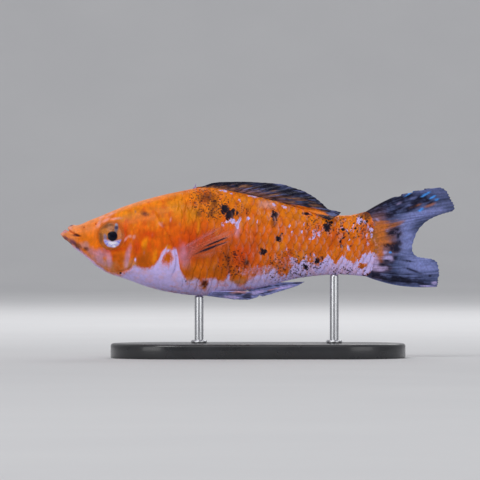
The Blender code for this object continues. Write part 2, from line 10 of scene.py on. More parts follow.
import bpy
import numpy as np
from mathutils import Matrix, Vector


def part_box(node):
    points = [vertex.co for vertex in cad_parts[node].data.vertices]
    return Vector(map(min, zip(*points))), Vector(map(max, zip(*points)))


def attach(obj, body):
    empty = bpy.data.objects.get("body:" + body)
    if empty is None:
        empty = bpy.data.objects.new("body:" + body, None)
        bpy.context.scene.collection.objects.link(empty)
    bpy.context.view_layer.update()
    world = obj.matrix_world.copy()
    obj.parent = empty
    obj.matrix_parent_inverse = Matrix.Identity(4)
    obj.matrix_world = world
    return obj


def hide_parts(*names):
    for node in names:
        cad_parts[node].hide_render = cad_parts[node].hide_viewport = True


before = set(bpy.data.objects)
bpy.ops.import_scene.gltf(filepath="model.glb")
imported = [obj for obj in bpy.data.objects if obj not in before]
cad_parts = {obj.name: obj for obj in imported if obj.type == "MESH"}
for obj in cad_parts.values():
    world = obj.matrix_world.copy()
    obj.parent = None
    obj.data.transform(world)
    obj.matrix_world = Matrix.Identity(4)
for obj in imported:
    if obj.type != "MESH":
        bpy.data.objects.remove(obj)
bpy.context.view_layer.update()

bl_info = {
    "name": "Calico molly",
    "version": (1, 0, 0),
    "blender": (4, 5, 0),
    "location": "View3D > Sidebar > Molly",
    "description": "Builds the visible pieces of a calico sailfin molly round its packed solids",
    "category": "Object",
}

MM = 0.001
AXIS_HEIGHT = 24.0
BASE_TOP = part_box("stand_base")[1].z / MM

# Side view of the skin: (x, z) along the lips, head and back, and along the jaw, throat and belly.
SKIN_TOP = [
    (-40.3, 1.25), (-39.95, 1.6), (-39.45, 1.95), (-39.0, 2.05), (-38.66, 2.1), (-38.45, 2.75),
    (-38.05, 3.12), (-37.5, 3.2), (-36.9, 3.12), (-36.2, 3.25), (-34.6, 3.95), (-32.2, 4.9),
    (-27.3, 6.9), (-21.2, 8.8), (-15.9, 10.0), (-10.8, 10.8), (-3.7, 9.7), (4.5, 7.8), (12.6, 5.7),
    (18.3, 5.1), (22.0, 5.9),
]
SKIN_LOW = [
    (-40.3, 1.15), (-39.9, 0.68), (-39.35, 0.05), (-38.65, -0.45), (-38.1, -0.95), (-37.65, -1.55),
    (-36.8, -2.2), (-35.9, -2.85), (-34.4, -4.1), (-33.4, -5.05), (-30.9, -6.65), (-27.3, -7.9),
    (-21.2, -10.0), (-13.8, -11.3), (-7.7, -11.3), (0.4, -9.8), (8.5, -7.8), (16.7, -7.1), (22.0, -7.5),
]
# Front view: half width along the fish, the level at which it is widest, and how pointed the back and
# the belly are, where 1 is an ellipse and more is a sharper keel.
SKIN_HALF_WIDTH = [
    (-40.3, 0.12), (-39.95, 0.6), (-39.4, 1.2), (-38.6, 1.82), (-37.6, 2.4), (-36.2, 2.95),
    (-34.2, 3.5), (-30.0, 4.35), (-24.0, 5.15), (-18.0, 5.55), (-12.0, 5.5), (-5.7, 5.0), (0.4, 4.2),
    (6.5, 3.4), (12.6, 2.7), (18.0, 2.15), (22.0, 1.5),
]
WIDEST_LEVEL = [
    (-40.3, 1.2), (-38.6, 1.15), (-37.0, 0.7), (-34.0, 0.0), (-28.0, -0.8), (-15.0, -1.6), (0.0, -0.8),
    (22.0, -0.8),
]
BACK_KEEL = [(-40.3, 0.75), (-30.0, 0.75), (-22.0, 0.92), (-12.0, 1.2), (6.0, 1.2), (22.0, 1.0)]
BELLY_KEEL = [(-40.3, 0.8), (-28.0, 0.95), (-12.0, 0.9), (2.0, 1.15), (22.0, 1.0)]
# Past STALK_END the stalk ends in a thin half ellipse, from which the tail fin's rays spread.
STALK_END = 22.0
FAN_DEPTH = 2.4
FAN_TIP_HALF_WIDTH = 0.3
FAN_CENTRE_Z = -0.8
FAN_HALF_HEIGHT = 6.7
# The skin lies this far inside the lines above, so that the scales reach them.
SKIN_INSET = 0.1

# Net of the skin: (from, to, stations) along the fish, closest at the mouth, and points round it.
STATION_RUNS = [(-40.3, -36.0, 62), (-35.88, -16.6, 146), (-16.42, 22.0, 172)]
FAN_STATIONS = 18
FAN_FIRST_TURN = 0.06
POINTS_AROUND = 208

# Relief of the head: mouth, eye, nostrils and the bones of the cheek and gill cover. A fold is given
# by its height and its width, and a ridge also by how far it runs from its line.
EYE_CENTRE = (-29.75, 0.9)
EYE_RADIUS = 3.0
EYE_OPENING = 2.68
EYE_HALF_DEPTH = 1.15
EYE_PROUD = 0.62
LENS_BULGE, LENS_WIDTH = 0.14, 0.4
IRIS_DIP, IRIS_DIP_RADIUS, IRIS_DIP_WIDTH = 0.05, 0.78, 0.1
IRIS_CENTRE, IRIS_EDGE = (0.22, -0.62), (1.65, 1.9)
PUPIL_CENTRE, PUPIL_EDGE = (0.26, -0.12), (0.96, 1.08)
LIP_OFFSET, LIP_WIDTH = 0.42, 0.3
MOUTH_DEPTH, MOUTH_WIDTH = 0.42, 0.13
CORNER_DEPTH, CORNER_WIDTH = 0.1, 0.16
NOSTRIL_RIM_HEIGHT, NOSTRIL_RIM_OFFSET, NOSTRIL_RIM_WIDTH = 0.09, 0.42, 0.16
NOSTRIL_DEPTH, NOSTRIL_WIDTH = 0.32, 0.24
ORBIT_HEIGHT, ORBIT_OFFSET, ORBIT_WIDTH = 0.12, 0.3, 0.32
SOCKET_DEPTH = 1.7
CHEEK_DEPTH, CHEEK_WIDTH = 0.07, 0.3
BONE_HEIGHT, BONE_OFFSET, BONE_WIDTH = 0.09, 0.45, 0.4
BONE_GROOVE_DEPTH, BONE_GROOVE_WIDTH = 0.12, 0.2
GILL_COVER_LENGTH = 4.0
GILL_GROOVE_DEPTH, GILL_GROOVE_OFFSET, GILL_GROOVE_WIDTH = 0.14, 0.25, 0.3
MOUTH_LINE = [(-38.9, 2.15), (-38.35, 1.85), (-37.4, 1.35), (-36.2, 0.75)]
CORNER_FOLD = [(-36.3, 1.2), (-36.1, 0.5), (-36.4, -0.6)]
NOSTRILS = [(-35.4, 2.6), (-32.9, 3.25)]
CHEEK_GROOVE = [(-36.0, 0.1), (-34.4, -1.7), (-32.0, -3.1), (-29.0, -3.6), (-26.8, -2.9)]
PREOPERCLE = [(-25.6, 2.8), (-24.7, 0.4), (-24.6, -3.0), (-26.0, -5.8), (-29.4, -7.0)]
# Rear edge of the gill cover: (z, x).
GILL_MARGIN = [
    (-11.6, -22.4), (-9.8, -20.0), (-7.7, -17.9), (-5.7, -16.9), (-3.7, -16.7), (-1.6, -17.1),
    (1.0, -18.2), (3.7, -19.8), (6.1, -21.0), (9.6, -22.2),
]

# Scales: sizes in millimetres, their half height in rows, and their UV patches in shares of the map.
SCALE_FRONT = -31.0
SCALE_REAR = 22.7
# Above this line the scales reach forward over the nape.
NAPE_LINE = [(-31.0, 4.5), (-27.0, 4.7), (-24.0, 5.3), (-21.0, 6.2)]
SCALE_GRID = (7, 8)
SCALE_LENGTH, SCALE_LENGTH_LOST = 2.55, 0.45
SCALE_HALF_HEIGHT = 0.98
SCALE_ROUNDING = 0.34
SCALE_TAPER = 0.12
SCALE_THICKNESS = 0.03
SCALE_ROOT_SUNK, SCALE_CROWN = 0.02, 0.012
SCALE_HIDDEN_DEPTH = 0.09
UV_MARGIN, UV_SCALE_SIZE = 0.02, 0.0015

# Markings of the left side: ellipses (x, z, half length, half height, tilt in degrees).
BLACK_SPOTS = [
    (-6.8, 6.2, 0.82, 1.15, 5), (-5.65, 5.25, 0.95, 0.9, -25), (-6.3, 4.3, 0.4, 0.45, 0),
    (-5.0, 6.0, 0.5, 0.4, 20), (-4.1, 5.5, 0.6, 0.2, -38), (-4.3, 4.15, 0.4, 0.3, 0),
    (3.15, 6.0, 0.25, 0.55, 5), (3.35, 5.1, 0.85, 0.6, 0), (3.45, 4.2, 0.5, 0.45, 0),
    (4.15, 0.25, 0.62, 0.58, 0), (4.8, 1.2, 0.38, 0.3, 20), (4.65, -0.2, 0.3, 0.25, 0),
    (1.0, -2.45, 0.72, 0.74, 0), (0.45, -1.6, 0.2, 0.4, 10), (14.05, 2.65, 0.88, 1.2, 0),
    (14.9, 3.6, 0.4, 0.3, 0), (17.2, 0.45, 0.5, 0.24, 20), (16.72, -0.4, 0.27, 0.75, 8),
    (17.0, -1.3, 0.4, 0.24, -50), (9.8, 5.35, 0.95, 0.3, -12), (-27.95, -6.7, 0.25, 0.2, 0),
    (-14.6, -8.4, 0.26, 0.22, 0), (-5.25, 9.1, 0.24, 0.17, 0), (-3.2, 7.8, 0.27, 0.2, 0),
    (-5.9, 7.9, 0.2, 0.17, 0), (20.85, 4.5, 0.2, 0.27, 0), (21.15, 3.75, 0.2, 0.3, 0),
    (22.1, 3.9, 0.25, 0.5, 0), (19.5, 3.4, 0.27, 0.2, 0), (19.7, 2.4, 0.3, 0.3, 0),
    (18.5, 1.4, 0.27, 0.25, 0), (17.3, 2.1, 0.5, 0.35, 0), (19.5, 0.5, 0.3, 0.2, 20),
    (18.7, -1.2, 0.2, 0.25, 0), (9.6, -5.4, 0.5, 0.6, 20), (12.0, -4.3, 0.5, 0.7, -20),
    (8.3, -3.3, 0.3, 0.2, 0), (9.9, -6.1, 0.35, 0.3, 0), (5.4, -6.1, 0.25, 0.3, 0),
    (4.5, -6.95, 0.2, 0.17, 0), (3.7, -8.0, 0.2, 0.18, 0), (8.6, -7.0, 0.2, 0.4, 0),
    (17.7, -6.0, 0.2, 0.35, 0), (18.4, -6.1, 0.3, 0.3, 0), (21.6, -6.2, 0.3, 0.25, 0),
    (-35.4, 2.6, 0.16, 0.13, 0), (-32.9, 3.25, 0.16, 0.12, 0),
]
# Soft brown spots, and two round ones with a clearer edge.
BROWN_SMUDGES = [
    (3.3, 3.5, 0.55, 0.8, 0), (-22.9, 5.3, 0.8, 0.4, -15), (-6.1, -4.2, 0.38, 1.9, 5),
    (-8.9, 7.2, 0.7, 1.1, 0), (-36.9, 0.94, 0.75, 0.24, -8), (-36.5, -1.2, 0.7, 0.4, -35),
    (-34.9, -1.8, 0.5, 0.35, -20), (-10.4, 8.6, 1.6, 0.8, 0), (-12.0, 5.3, 0.5, 0.6, 0),
    (-9.4, 5.6, 0.5, 0.8, 0),
]
BROWN_DOTS = [(-2.4, -4.56, 0.6, 0.62, 0), (-10.8, -8.85, 0.62, 0.66, 0)]
# White flecks of the coat, and at (-18.2, -2.15) a painted highlight at the root of the pectoral fin.
WHITE_FLECKS_AND_GLINT = [
    (-7.3, 3.1, 0.2, 0.55, 0), (-6.3, 3.75, 0.38, 0.22, 0), (-5.2, 3.85, 0.4, 0.75, 35),
    (-4.4, 3.2, 0.5, 0.55, 0), (-3.65, 4.3, 0.25, 0.55, -5), (-4.2, 2.6, 0.22, 0.35, 0),
    (20.5, 4.0, 0.5, 0.7, 0), (21.75, 3.7, 0.35, 0.45, 25), (23.1, 2.1, 0.5, 0.5, 0),
    (23.1, 1.1, 0.16, 0.7, 0), (24.3, 4.1, 0.42, 0.25, -40), (-7.0, 10.0, 0.75, 0.16, -5),
    (-5.3, 9.45, 0.5, 0.14, -15), (-0.9, 8.75, 1.1, 0.17, -10), (-3.8, 8.1, 0.25, 0.3, 0),
    (5.4, 6.7, 0.5, 0.2, -10), (3.2, 7.2, 0.4, 0.3, 0), (11.4, 0.8, 0.25, 0.5, -10),
    (10.6, 0.2, 0.5, 0.2, 0), (18.3, -1.5, 0.2, 0.6, 28), (-18.2, -2.15, 0.28, 0.28, 0),
    (-1.65, -5.7, 0.17, 0.7, 0), (-0.1, -5.4, 0.15, 0.4, 0), (-6.0, -7.3, 0.25, 0.8, 0),
    (-3.6, -5.9, 0.15, 0.6, 0), (1.25, -6.4, 0.16, 0.7, 0), (5.8, -2.1, 0.16, 0.6, 0),
    (6.4, 2.9, 0.16, 0.5, -5), (6.9, 1.5, 0.16, 0.6, -8), (8.9, 1.7, 0.14, 0.35, 0),
    (9.4, 3.3, 0.14, 0.4, 0), (7.8, 2.9, 0.14, 0.25, 0), (-2.0, 4.3, 0.2, 0.4, 20),
    (-0.25, 3.8, 0.18, 0.35, 0), (-0.3, 6.9, 0.15, 0.25, 0), (0.7, 7.6, 0.2, 0.2, 0),
    (1.2, 5.8, 0.14, 0.3, 0), (6.8, -4.0, 0.4, 0.3, 0), (7.6, -5.6, 0.35, 0.35, 0),
    (17.0, 2.4, 0.2, 0.4, 20), (19.3, 2.9, 0.14, 0.5, -20), (18.6, 0.1, 0.35, 0.14, 40),
    (-19.35, -3.2, 0.16, 2.0, -24), (-24.9, -4.0, 0.17, 0.32, 0),
]
# Orange inside the white, and thin streaks where it shows through.
ORANGE_PATCHES = [
    (-18.3, -3.6, 1.0, 1.45, -12), (21.3, -5.25, 1.0, 0.5, 15), (24.9, -1.0, 1.2, 5.0, 0),
    (22.6, -7.8, 2.2, 1.0, -8), (-30.8, -5.6, 2.6, 0.6, -33),
]
BELLY_STREAKS = [
    (-17.4, -9.4, 1.0, 0.24, -5), (-17.2, -10.5, 1.2, 0.26, -6), (-14.8, -10.75, 1.0, 0.26, -4),
    (-12.9, -10.4, 0.9, 0.24, 8), (-19.6, -10.0, 0.8, 0.24, -10), (-4.7, -10.2, 2.0, 0.34, -3),
    (-8.5, -9.4, 1.4, 0.34, 0), (-13.6, -9.0, 2.4, 0.5, 0), (-11.9, -9.5, 1.8, 0.7, 0),
    (-7.4, -9.0, 2.2, 0.6, 0), (-2.6, -9.9, 2.4, 0.45, 8),
]
# Where white mottles the orange, and where fine black specks stand.
WHITE_MOTTLES = [
    (6.0, -4.8, 3.0, 1.7, 10), (10.8, -4.0, 2.6, 1.3, 0), (18.4, 2.0, 1.6, 0.8, 0),
    (0.0, -6.2, 4.4, 1.0, 8), (22.4, 1.0, 0.7, 3.4, 0), (12.0, 1.6, 1.6, 1.2, 0),
    (-10.6, -8.4, 3.4, 0.8, 0),
]
SPECKLE_ZONES = [
    (-10.0, 8.2, 3.4, 2.1, -12), (-10.2, 6.2, 3.0, 1.8, -20), (-5.2, -4.4, 2.6, 2.8, 0),
    (6.6, -5.6, 4.6, 2.9, 5), (11.3, 3.2, 1.7, 1.7, 0), (17.0, 2.7, 3.0, 2.1, 0),
    (10.8, -4.6, 2.8, 1.9, 10), (20.8, 2.9, 2.4, 2.2, 0), (-3.6, 6.0, 1.6, 1.2, 0),
    (17.2, -6.2, 2.2, 0.8, 0), (12.0, 1.6, 1.4, 1.0, 0),
]

# Grain of the markings: sizes in millimetres, and the fields' values between which an edge rises.
STREAK_STRETCH, STREAK_SIZE = (1.0, 1.0, 0.36), 0.8
SPOT_EDGE_SIZE, SPOT_EDGE = 0.9, (0.45, 0.58)
SPECK_SIZE, SPECK_JITTER = 0.34, 0.4 * MM
SHARP_EDGE, SOFT_EDGE = (0.42, 0.62), (0.24, 0.82)
GROWTH_RINGS = 70.0
PORE_SPACING = 0.9
WHITE_EDGE_WIDTH = 1.8
WHITEST, STREAK_SHARE, MOTTLE_SHARE = 0.95, 0.48, 0.41

# Washes of colour under the marks: their colour, its strength, and what they rise with, from where
# they start to where they are full. over_back is the height over the back's line, and combed and
# patchy are noises.
COAT_WASHES = [
    # Ochre: the lower flank's own tone, made lighter to make up for the shade under the body, which is
    # painted light.
    ("ochre", 0.85, {"z": (-2.5, -6.5)}),
    ("amber", 0.5, {"x": (-32.0, -26.0), "combed": (0.52, 0.72), "patchy": (0.35, 0.6)}),
    ("ember", 0.45, {"x": (-32.0, -26.0), "combed": (0.46, 0.28)}),
    ("gold", 0.7, {"x": (-29.0, -35.0)}),
    ("rose", 0.4, {"x": (-27.5, -36.5), "z": (0.4, 3.0)}),
    ("rose", 0.8, {"x": (-14.0, -24.0), "over_back": (-1.3, -0.1)}),
    ("rose", 0.5, {"x": (-35.5, -38.0)}),
]
# Soft marks: their colour, its strength and their ellipses. Some are painted light: shade on the flank
# under the pectoral fin, and highlights on the cheek, gill cover and pectoral root.
SOFT_MARKS_AND_PAINTED_LIGHT = [
    # Ember: red patches of the coat, and at (-13.6, -0.4) painted shade on the flank under the pectoral
    # fin.
    ("ember", 0.8, [
        (-22.1, 1.1, 1.3, 0.7, 0), (-13.6, -0.4, 4.2, 2.6, 15), (-24.6, -1.6, 0.9, 1.6, 0),
        (-28.9, -1.95, 2.0, 0.4, 5), (-26.9, 1.2, 0.35, 1.9, 0), (-3.0, -3.2, 2.6, 2.6, 0),
    ]),
    # Amber: the first four marks, by the cheek, the gill cover's edge and the pectoral fin's root, are
    # painted highlights; the rest are bright patches of the coat.
    ("amber", 0.85, [
        (-23.0, -0.5, 0.55, 1.05, -15), (-19.5, 4.1, 0.8, 0.45, 0), (-18.4, -1.55, 0.5, 0.5, 0),
        (-21.1, -3.8, 0.45, 1.7, -10), (-13.3, 5.2, 2.0, 1.2, 0), (-26.4, 5.2, 2.2, 0.9, 20),
        (-12.0, 2.8, 0.4, 1.4, 0), (-8.4, 1.5, 0.3, 1.2, 0), (-16.9, 7.0, 2.4, 1.6, 0),
    ]),
    ("sienna", 0.8, [
        (-22.9, -4.0, 1.7, 1.85, 0), (-28.4, -3.9, 1.45, 1.5, 0), (-14.2, -6.6, 1.7, 1.4, 0),
        (-18.3, -3.5, 0.9, 1.2, 0), (-8.0, -6.6, 2.4, 1.2, 0), (-31.6, -6.0, 1.6, 0.3, -34),
    ]),
    ("tan", 0.8, [
        (-31.2, -4.6, 3.0, 1.1, -32), (-26.0, -5.0, 1.2, 0.9, 0), (-12.9, -8.6, 1.6, 0.9, 0),
        (-4.5, -8.6, 3.0, 0.6, 0),
    ]),
    # Mauve: soft marks of the cheek and fin base, and at (-26.45, -3.4) a painted highlight on the edge
    # of the gill cover's front bone.
    ("mauve", 0.62, [
        (-32.4, -2.7, 2.0, 0.8, -14), (-30.2, -4.2, 0.55, 1.5, 0), (-26.45, -3.4, 0.42, 1.9, -10),
        (-24.9, -4.0, 0.2, 0.4, 0), (-15.2, -3.3, 1.2, 1.9, 10), (-4.2, 1.9, 0.5, 1.1, 0),
        (-38.6, -0.75, 1.4, 0.3, -42), (-32.2, -4.1, 1.5, 0.8, -38), (-35.2, -3.2, 2.4, 0.4, -42),
        (-39.3, 1.75, 0.6, 0.3, 0),
    ]),
    ("peach", 0.68, [
        (-32.5, 3.1, 0.34, 0.9, -38), (-30.8, 4.1, 0.95, 0.24, 28), (-28.9, 4.35, 1.0, 0.2, 5),
        (-31.8, 4.6, 0.6, 0.2, 25), (-30.0, 5.15, 0.9, 0.22, 27), (-26.0, 0.75, 0.3, 0.24, 0),
        (-25.1, 0.65, 0.25, 0.28, 0), (-26.8, 0.2, 0.16, 0.5, -35), (-17.7, 4.1, 0.16, 0.55, -5),
        (-19.6, 3.05, 0.24, 0.6, 45), (-38.2, 2.6, 0.5, 0.6, 0), (-35.4, -1.1, 0.8, 0.6, 0),
        (-40.0, 1.2, 0.4, 0.3, 0), (2.0, 7.0, 1.6, 0.7, -10),
    ]),
    ("umber", 0.85, [
        (24.4, 0.0, 0.9, 6.0, 0), (22.9, 4.9, 1.0, 0.6, 20),
    ]),
    ("navy", 1.0, [
        (22.4, -7.6, 2.6, 1.7, -8), (23.0, 6.0, 1.8, 1.1, 15), (24.2, -5.6, 0.7, 0.4, 0),
        (-39.15, 0.1, 1.3, 0.17, -42),
    ]),
    ("plum", 0.85, [
        (-37.6, -0.55, 1.0, 0.5, -46), (-38.9, 0.35, 0.7, 0.24, -40), (-36.9, 0.94, 0.6, 0.16, -8),
        (-36.7, -1.7, 0.7, 0.24, -40), (-38.1, 2.95, 0.4, 0.16, 0),
    ]),
]
# Upper edge of the white belly: (x, z).
WHITE_EDGE = [
    (-38.5, -1.1), (-37.25, -1.5), (-36.0, -2.45), (-34.4, -3.65), (-31.15, -6.15), (-29.1, -6.95),
    (-27.9, -7.1), (-26.2, -6.1), (-25.0, -5.3), (-22.8, -5.9), (-21.4, -5.5), (-20.55, -4.5),
    (-19.85, -3.2), (-19.0, -2.0), (-17.5, -2.1), (-16.4, -2.2), (-15.9, -5.2), (-15.3, -6.9),
    (-14.5, -8.3), (-13.2, -8.1), (-12.3, -7.9), (-11.6, -9.4), (-10.8, -9.9), (-10.1, -8.3),
    (-9.0, -7.8), (-7.7, -8.5), (-6.1, -8.1), (-4.9, -8.7), (-3.9, -9.3), (-2.65, -9.0), (-1.8, -8.1),
    (-1.1, -7.5), (0.0, -6.9), (1.2, -6.9), (2.4, -6.1), (3.45, -5.7), (4.3, -7.1), (5.7, -7.3),
    (6.5, -6.1), (7.7, -4.9), (8.9, -4.2), (10.6, -4.5), (12.2, -5.2), (13.1, -4.3), (14.0, -3.0),
    (14.85, -3.6), (15.9, -4.8), (16.7, -3.5), (17.3, -2.9), (18.0, -3.8), (18.9, -4.4), (20.3, -4.3),
    (20.9, -3.6), (21.6, -2.4), (22.15, -2.9), (22.8, -2.7), (23.5, -2.5), (24.0, -3.0), (24.5, -3.7),
    (26.2, -4.0),
]

# Fins. The rays' width, branches and notches are in shares of the space between two rays, the uneven
# edge is in shares of a ray's length, and the other sizes are in millimetres.
RAY_WIDTH, BRANCH_SPREAD, NOTCH_WIDTH = 0.1, 0.24, 0.16
UNEVEN_EDGE = 0.03
MEMBRANE_RIPPLE = 0.05
ROOT_THICKENING = 0.2
ROOT_SUNK = 0.25
# Roots are the x of the first and last ray, or (share of the way from the first ray to the last, x,
# z), and tips are always the latter.
DORSAL_ROOT = (-13.4, 8.1)
DORSAL_TIPS = [
    (0.0, -12.58, 11.5), (0.012, -12.64, 11.25), (0.026, -12.85, 10.55), (0.036, -12.5, 10.42),
    (0.055, -11.8, 10.7), (0.09, -10.6, 11.15), (0.14, -9.0, 11.65), (0.25, -3.7, 11.85),
    (0.36, 0.8, 11.7), (0.46, 5.1, 11.3), (0.54, 7.2, 10.6), (0.62, 9.6, 9.85), (0.7, 11.7, 8.5),
    (0.77, 13.2, 7.3), (0.84, 14.6, 6.1), (0.92, 16.8, 5.5), (1.0, 14.6, 3.95),
]
DORSAL_DRAPE_START = 0.3
DORSAL_DRAPE = 2.5
CAUDAL_ROOT_ANGLE = math.radians(96)
CAUDAL_TIPS = [
    (0.0, 36.3, 10.85), (0.07, 38.15, 10.35), (0.085, 38.5, 9.95), (0.16, 39.3, 8.2),
    (0.23, 39.95, 6.65), (0.245, 39.85, 6.15), (0.3, 38.3, 5.6), (0.36, 36.6, 5.0), (0.41, 34.6, 4.0),
    (0.45, 33.0, 2.5), (0.48, 32.1, 1.1), (0.51, 31.6, -0.4), (0.55, 31.5, -2.2), (0.59, 32.3, -3.3),
    (0.65, 34.2, -3.75), (0.7, 35.7, -3.95), (0.74, 36.6, -4.6), (0.8, 36.9, -6.4), (0.9, 36.85, -8.1),
    (1.0, 36.4, -9.55),
]
CAUDAL_SWAY = 1.3
UPPER_LOBE_BOW, LOWER_LOBE_BOW = 0.95, 0.85
EDGE_JAG, EDGE_JAGS, EDGE_JAG_WIDTH = 0.5, 6, 0.035
ANAL_ROOT = (-2.5, 2.9)
ANAL_TIPS = [
    (0.0, 1.0, -11.5), (0.25, 3.6, -10.7), (0.5, 6.1, -9.95), (0.8, 8.2, -9.2), (1.0, 9.5, -8.5),
]
PECTORAL_ROOT = [(0.0, -15.7, -1.7), (1.0, -15.5, -4.1)]
PECTORAL_TIPS = [
    (0.0, -7.5, 3.6), (0.22, -4.7, 3.4), (0.45, -4.0, 2.1), (0.72, -5.5, -0.3), (1.0, -9.4, -3.5),
]
PECTORAL_SPREAD = 3.2
PELVIC_STAND_OFF, PECTORAL_STAND_OFF = 0.7, 0.8
PELVIC_ROOT = [(0.0, -9.3, -10.4), (1.0, -10.2, -11.2)]
PELVIC_TIPS = [(0.0, -1.0, -10.5), (0.3, 0.3, -11.2), (0.6, -1.4, -12.0), (1.0, -4.9, -12.05)]
PELVIC_ROOT_Y = (2.4, 1.3)
PELVIC_TIP_Y = (2.9, 1.5)

# Markings of the fins, as ellipses like those of the body, with painted shadow on the dorsal fin's draped
# edge and painted glints on the tail fin.
CAUDAL_DARK = [
    (24.0, 6.4, 1.9, 0.6, 25), (26.6, 7.6, 2.2, 0.65, 24), (29.7, 8.4, 2.0, 0.6, 22),
    (31.3, 9.2, 1.3, 0.3, 30), (27.1, 5.3, 1.3, 0.7, 30), (30.9, 6.4, 1.8, 0.5, 28),
    (32.3, 7.5, 1.7, 0.4, 25), (33.0, 8.6, 1.6, 0.5, 28), (34.1, 8.0, 1.1, 0.35, 22),
    (35.2, 7.6, 0.9, 0.22, 25), (27.5, 1.6, 1.3, 0.6, 0), (28.2, 2.1, 0.7, 0.4, 0),
    (28.5, 0.8, 0.5, 0.8, 0), (27.9, -1.3, 1.15, 1.0, 0), (26.4, -1.1, 0.8, 0.4, 0),
    (28.6, -0.4, 0.5, 0.7, 0), (25.6, -5.0, 0.9, 0.3, 0), (31.3, -6.15, 2.1, 0.28, -20),
    (29.1, -7.9, 2.4, 0.6, -14), (23.8, -7.1, 2.2, 0.55, -12), (26.9, -8.1, 1.8, 0.45, -8),
    (33.8, -8.9, 1.9, 0.15, -8), (35.0, -7.3, 0.3, 0.25, 0), (30.5, -4.3, 1.2, 0.2, -8),
    (28.6, 6.3, 1.6, 0.2, 26), (26.2, -4.3, 0.6, 0.4, 0), (28.0, -3.6, 0.5, 0.35, 0),
]
# Painted glints: blue sheen of the tail fin laid on as colour.
CAUDAL_BLUE_GLINTS = [
    (34.2, 9.35, 1.15, 0.2, 30), (35.5, 8.7, 0.75, 0.2, 28), (36.35, 8.2, 0.55, 0.2, 22),
    (33.2, 6.2, 0.65, 0.24, 28), (30.8, 9.45, 1.35, 0.13, 32), (33.5, 10.2, 0.4, 0.14, 10),
    (26.9, -2.55, 0.26, 0.2, 0),
]
CAUDAL_ORANGE = [
    (25.2, 2.95, 1.5, 0.9, 0), (28.2, 3.2, 1.4, 0.36, 22), (26.1, -0.4, 1.5, 0.8, 0),
    (24.9, -2.6, 0.7, 1.5, 0), (24.8, 0.8, 1.1, 2.4, 0), (32.2, 7.0, 1.1, 0.2, 22),
    (35.0, 7.1, 1.3, 0.28, 22),
]
CAUDAL_PALE = [
    (25.75, -2.5, 0.5, 0.38, 0), (26.4, 1.9, 0.4, 0.3, 0), (28.0, 1.7, 0.4, 0.26, 0),
    (26.4, -3.7, 1.1, 0.6, 0), (25.0, -5.8, 1.0, 0.5, 0), (35.9, -8.8, 0.55, 0.35, 0),
    (34.6, -9.4, 1.5, 0.14, -3), (28.8, 7.6, 0.6, 0.24, 30), (24.3, 4.1, 0.4, 0.25, -40),
    (23.9, -4.5, 0.7, 1.5, 0),
]
CAUDAL_BASE = [(24.2, 0.0, 2.3, 5.2, 0), (25.6, 0.8, 2.5, 2.8, 0)]
CAUDAL_MIST = [
    (30.4, 0.2, 2.0, 3.2, 0), (33.0, -4.9, 3.4, 1.5, -6), (33.4, 5.3, 4.0, 0.7, 10),
    (30.4, 3.6, 1.8, 1.2, 20),
]
CAUDAL_DUSK = [
    (27.6, 7.6, 5.2, 1.5, 24), (32.6, 7.8, 3.0, 1.0, 25), (29.0, -7.7, 6.5, 1.1, -9),
    (28.0, 0.3, 1.3, 2.4, 0), (26.2, -4.6, 1.6, 1.4, 0),
]
DORSAL_PALE = [
    (-1.4, 10.1, 2.6, 0.6, -3), (5.2, 8.3, 3.4, 0.9, -16), (11.5, 7.7, 3.0, 0.8, -33),
    (14.4, 5.5, 2.6, 0.7, -20), (6.5, 10.7, 3.0, 0.4, -15),
]
DORSAL_TAN = [
    (-6.5, 10.7, 4.6, 0.5, 2), (1.5, 9.6, 3.2, 0.7, -6), (8.6, 7.4, 3.6, 0.9, -13),
    (12.4, 5.6, 3.4, 0.8, -16), (-11.6, 10.5, 1.2, 0.5, 10),
]
DORSAL_ORANGE = [
    (9.6, 6.25, 4.4, 0.5, -11), (12.6, 5.5, 2.4, 0.28, -14), (-12.0, 10.4, 0.9, 0.4, 10),
]
# Painted shadow: navy on the dorsal fin's draped last rays, where the gap under their edge lies in shade.
DORSAL_PAINTED_SHADOW = [(9.8, 5.45, 1.0, 0.24, -14), (13.4, 4.9, 1.0, 0.12, -14)]
BELLY_FIN_DARK = [
    (-2.2, -11.3, 1.0, 0.6, 25), (-2.9, -9.95, 1.5, 0.22, 8), (0.6, -9.7, 3.4, 0.13, 8),
    (6.4, -8.1, 2.6, 0.3, 6), (4.4, -9.2, 2.2, 0.12, 8), (8.0, -8.6, 1.4, 0.3, 10),
    (2.0, -10.6, 1.8, 0.14, 14), (-4.0, -10.9, 0.8, 0.2, 0),
]
BELLY_FIN_PALE = [
    (-0.2, -10.6, 1.6, 0.4, 12), (5.2, -9.7, 2.2, 0.22, 10), (-5.5, -11.6, 1.6, 0.3, -3),
    (1.6, -9.2, 2.0, 0.25, 8),
]
BELLY_FIN_TAN = [(-3.6, -10.6, 1.8, 0.3, 4), (3.2, -10.0, 1.2, 0.14, 12)]
PECTORAL_DARK = [
    (-9.9, -1.72, 2.9, 0.25, 21.5), (-8.6, -0.42, 2.7, 0.16, 22.5), (-7.4, -0.8, 1.4, 0.1, 22),
]

# Stand: radii and edges. The rods reach over the solids' gap and a little into the skin.
BASE_TOP_EDGE, BASE_FOOT_EDGE = 0.6, 0.2
ROD_RADIUS, ROD_TIP_EDGE = 0.9, 0.35
SOLIDS_GAP = 0.3
ROD_TOP_SUNK = 0.1
COLLAR_GROWTH, COLLAR_THICKNESS, COLLAR_LEVEL = 0.35, 0.38, 0.3

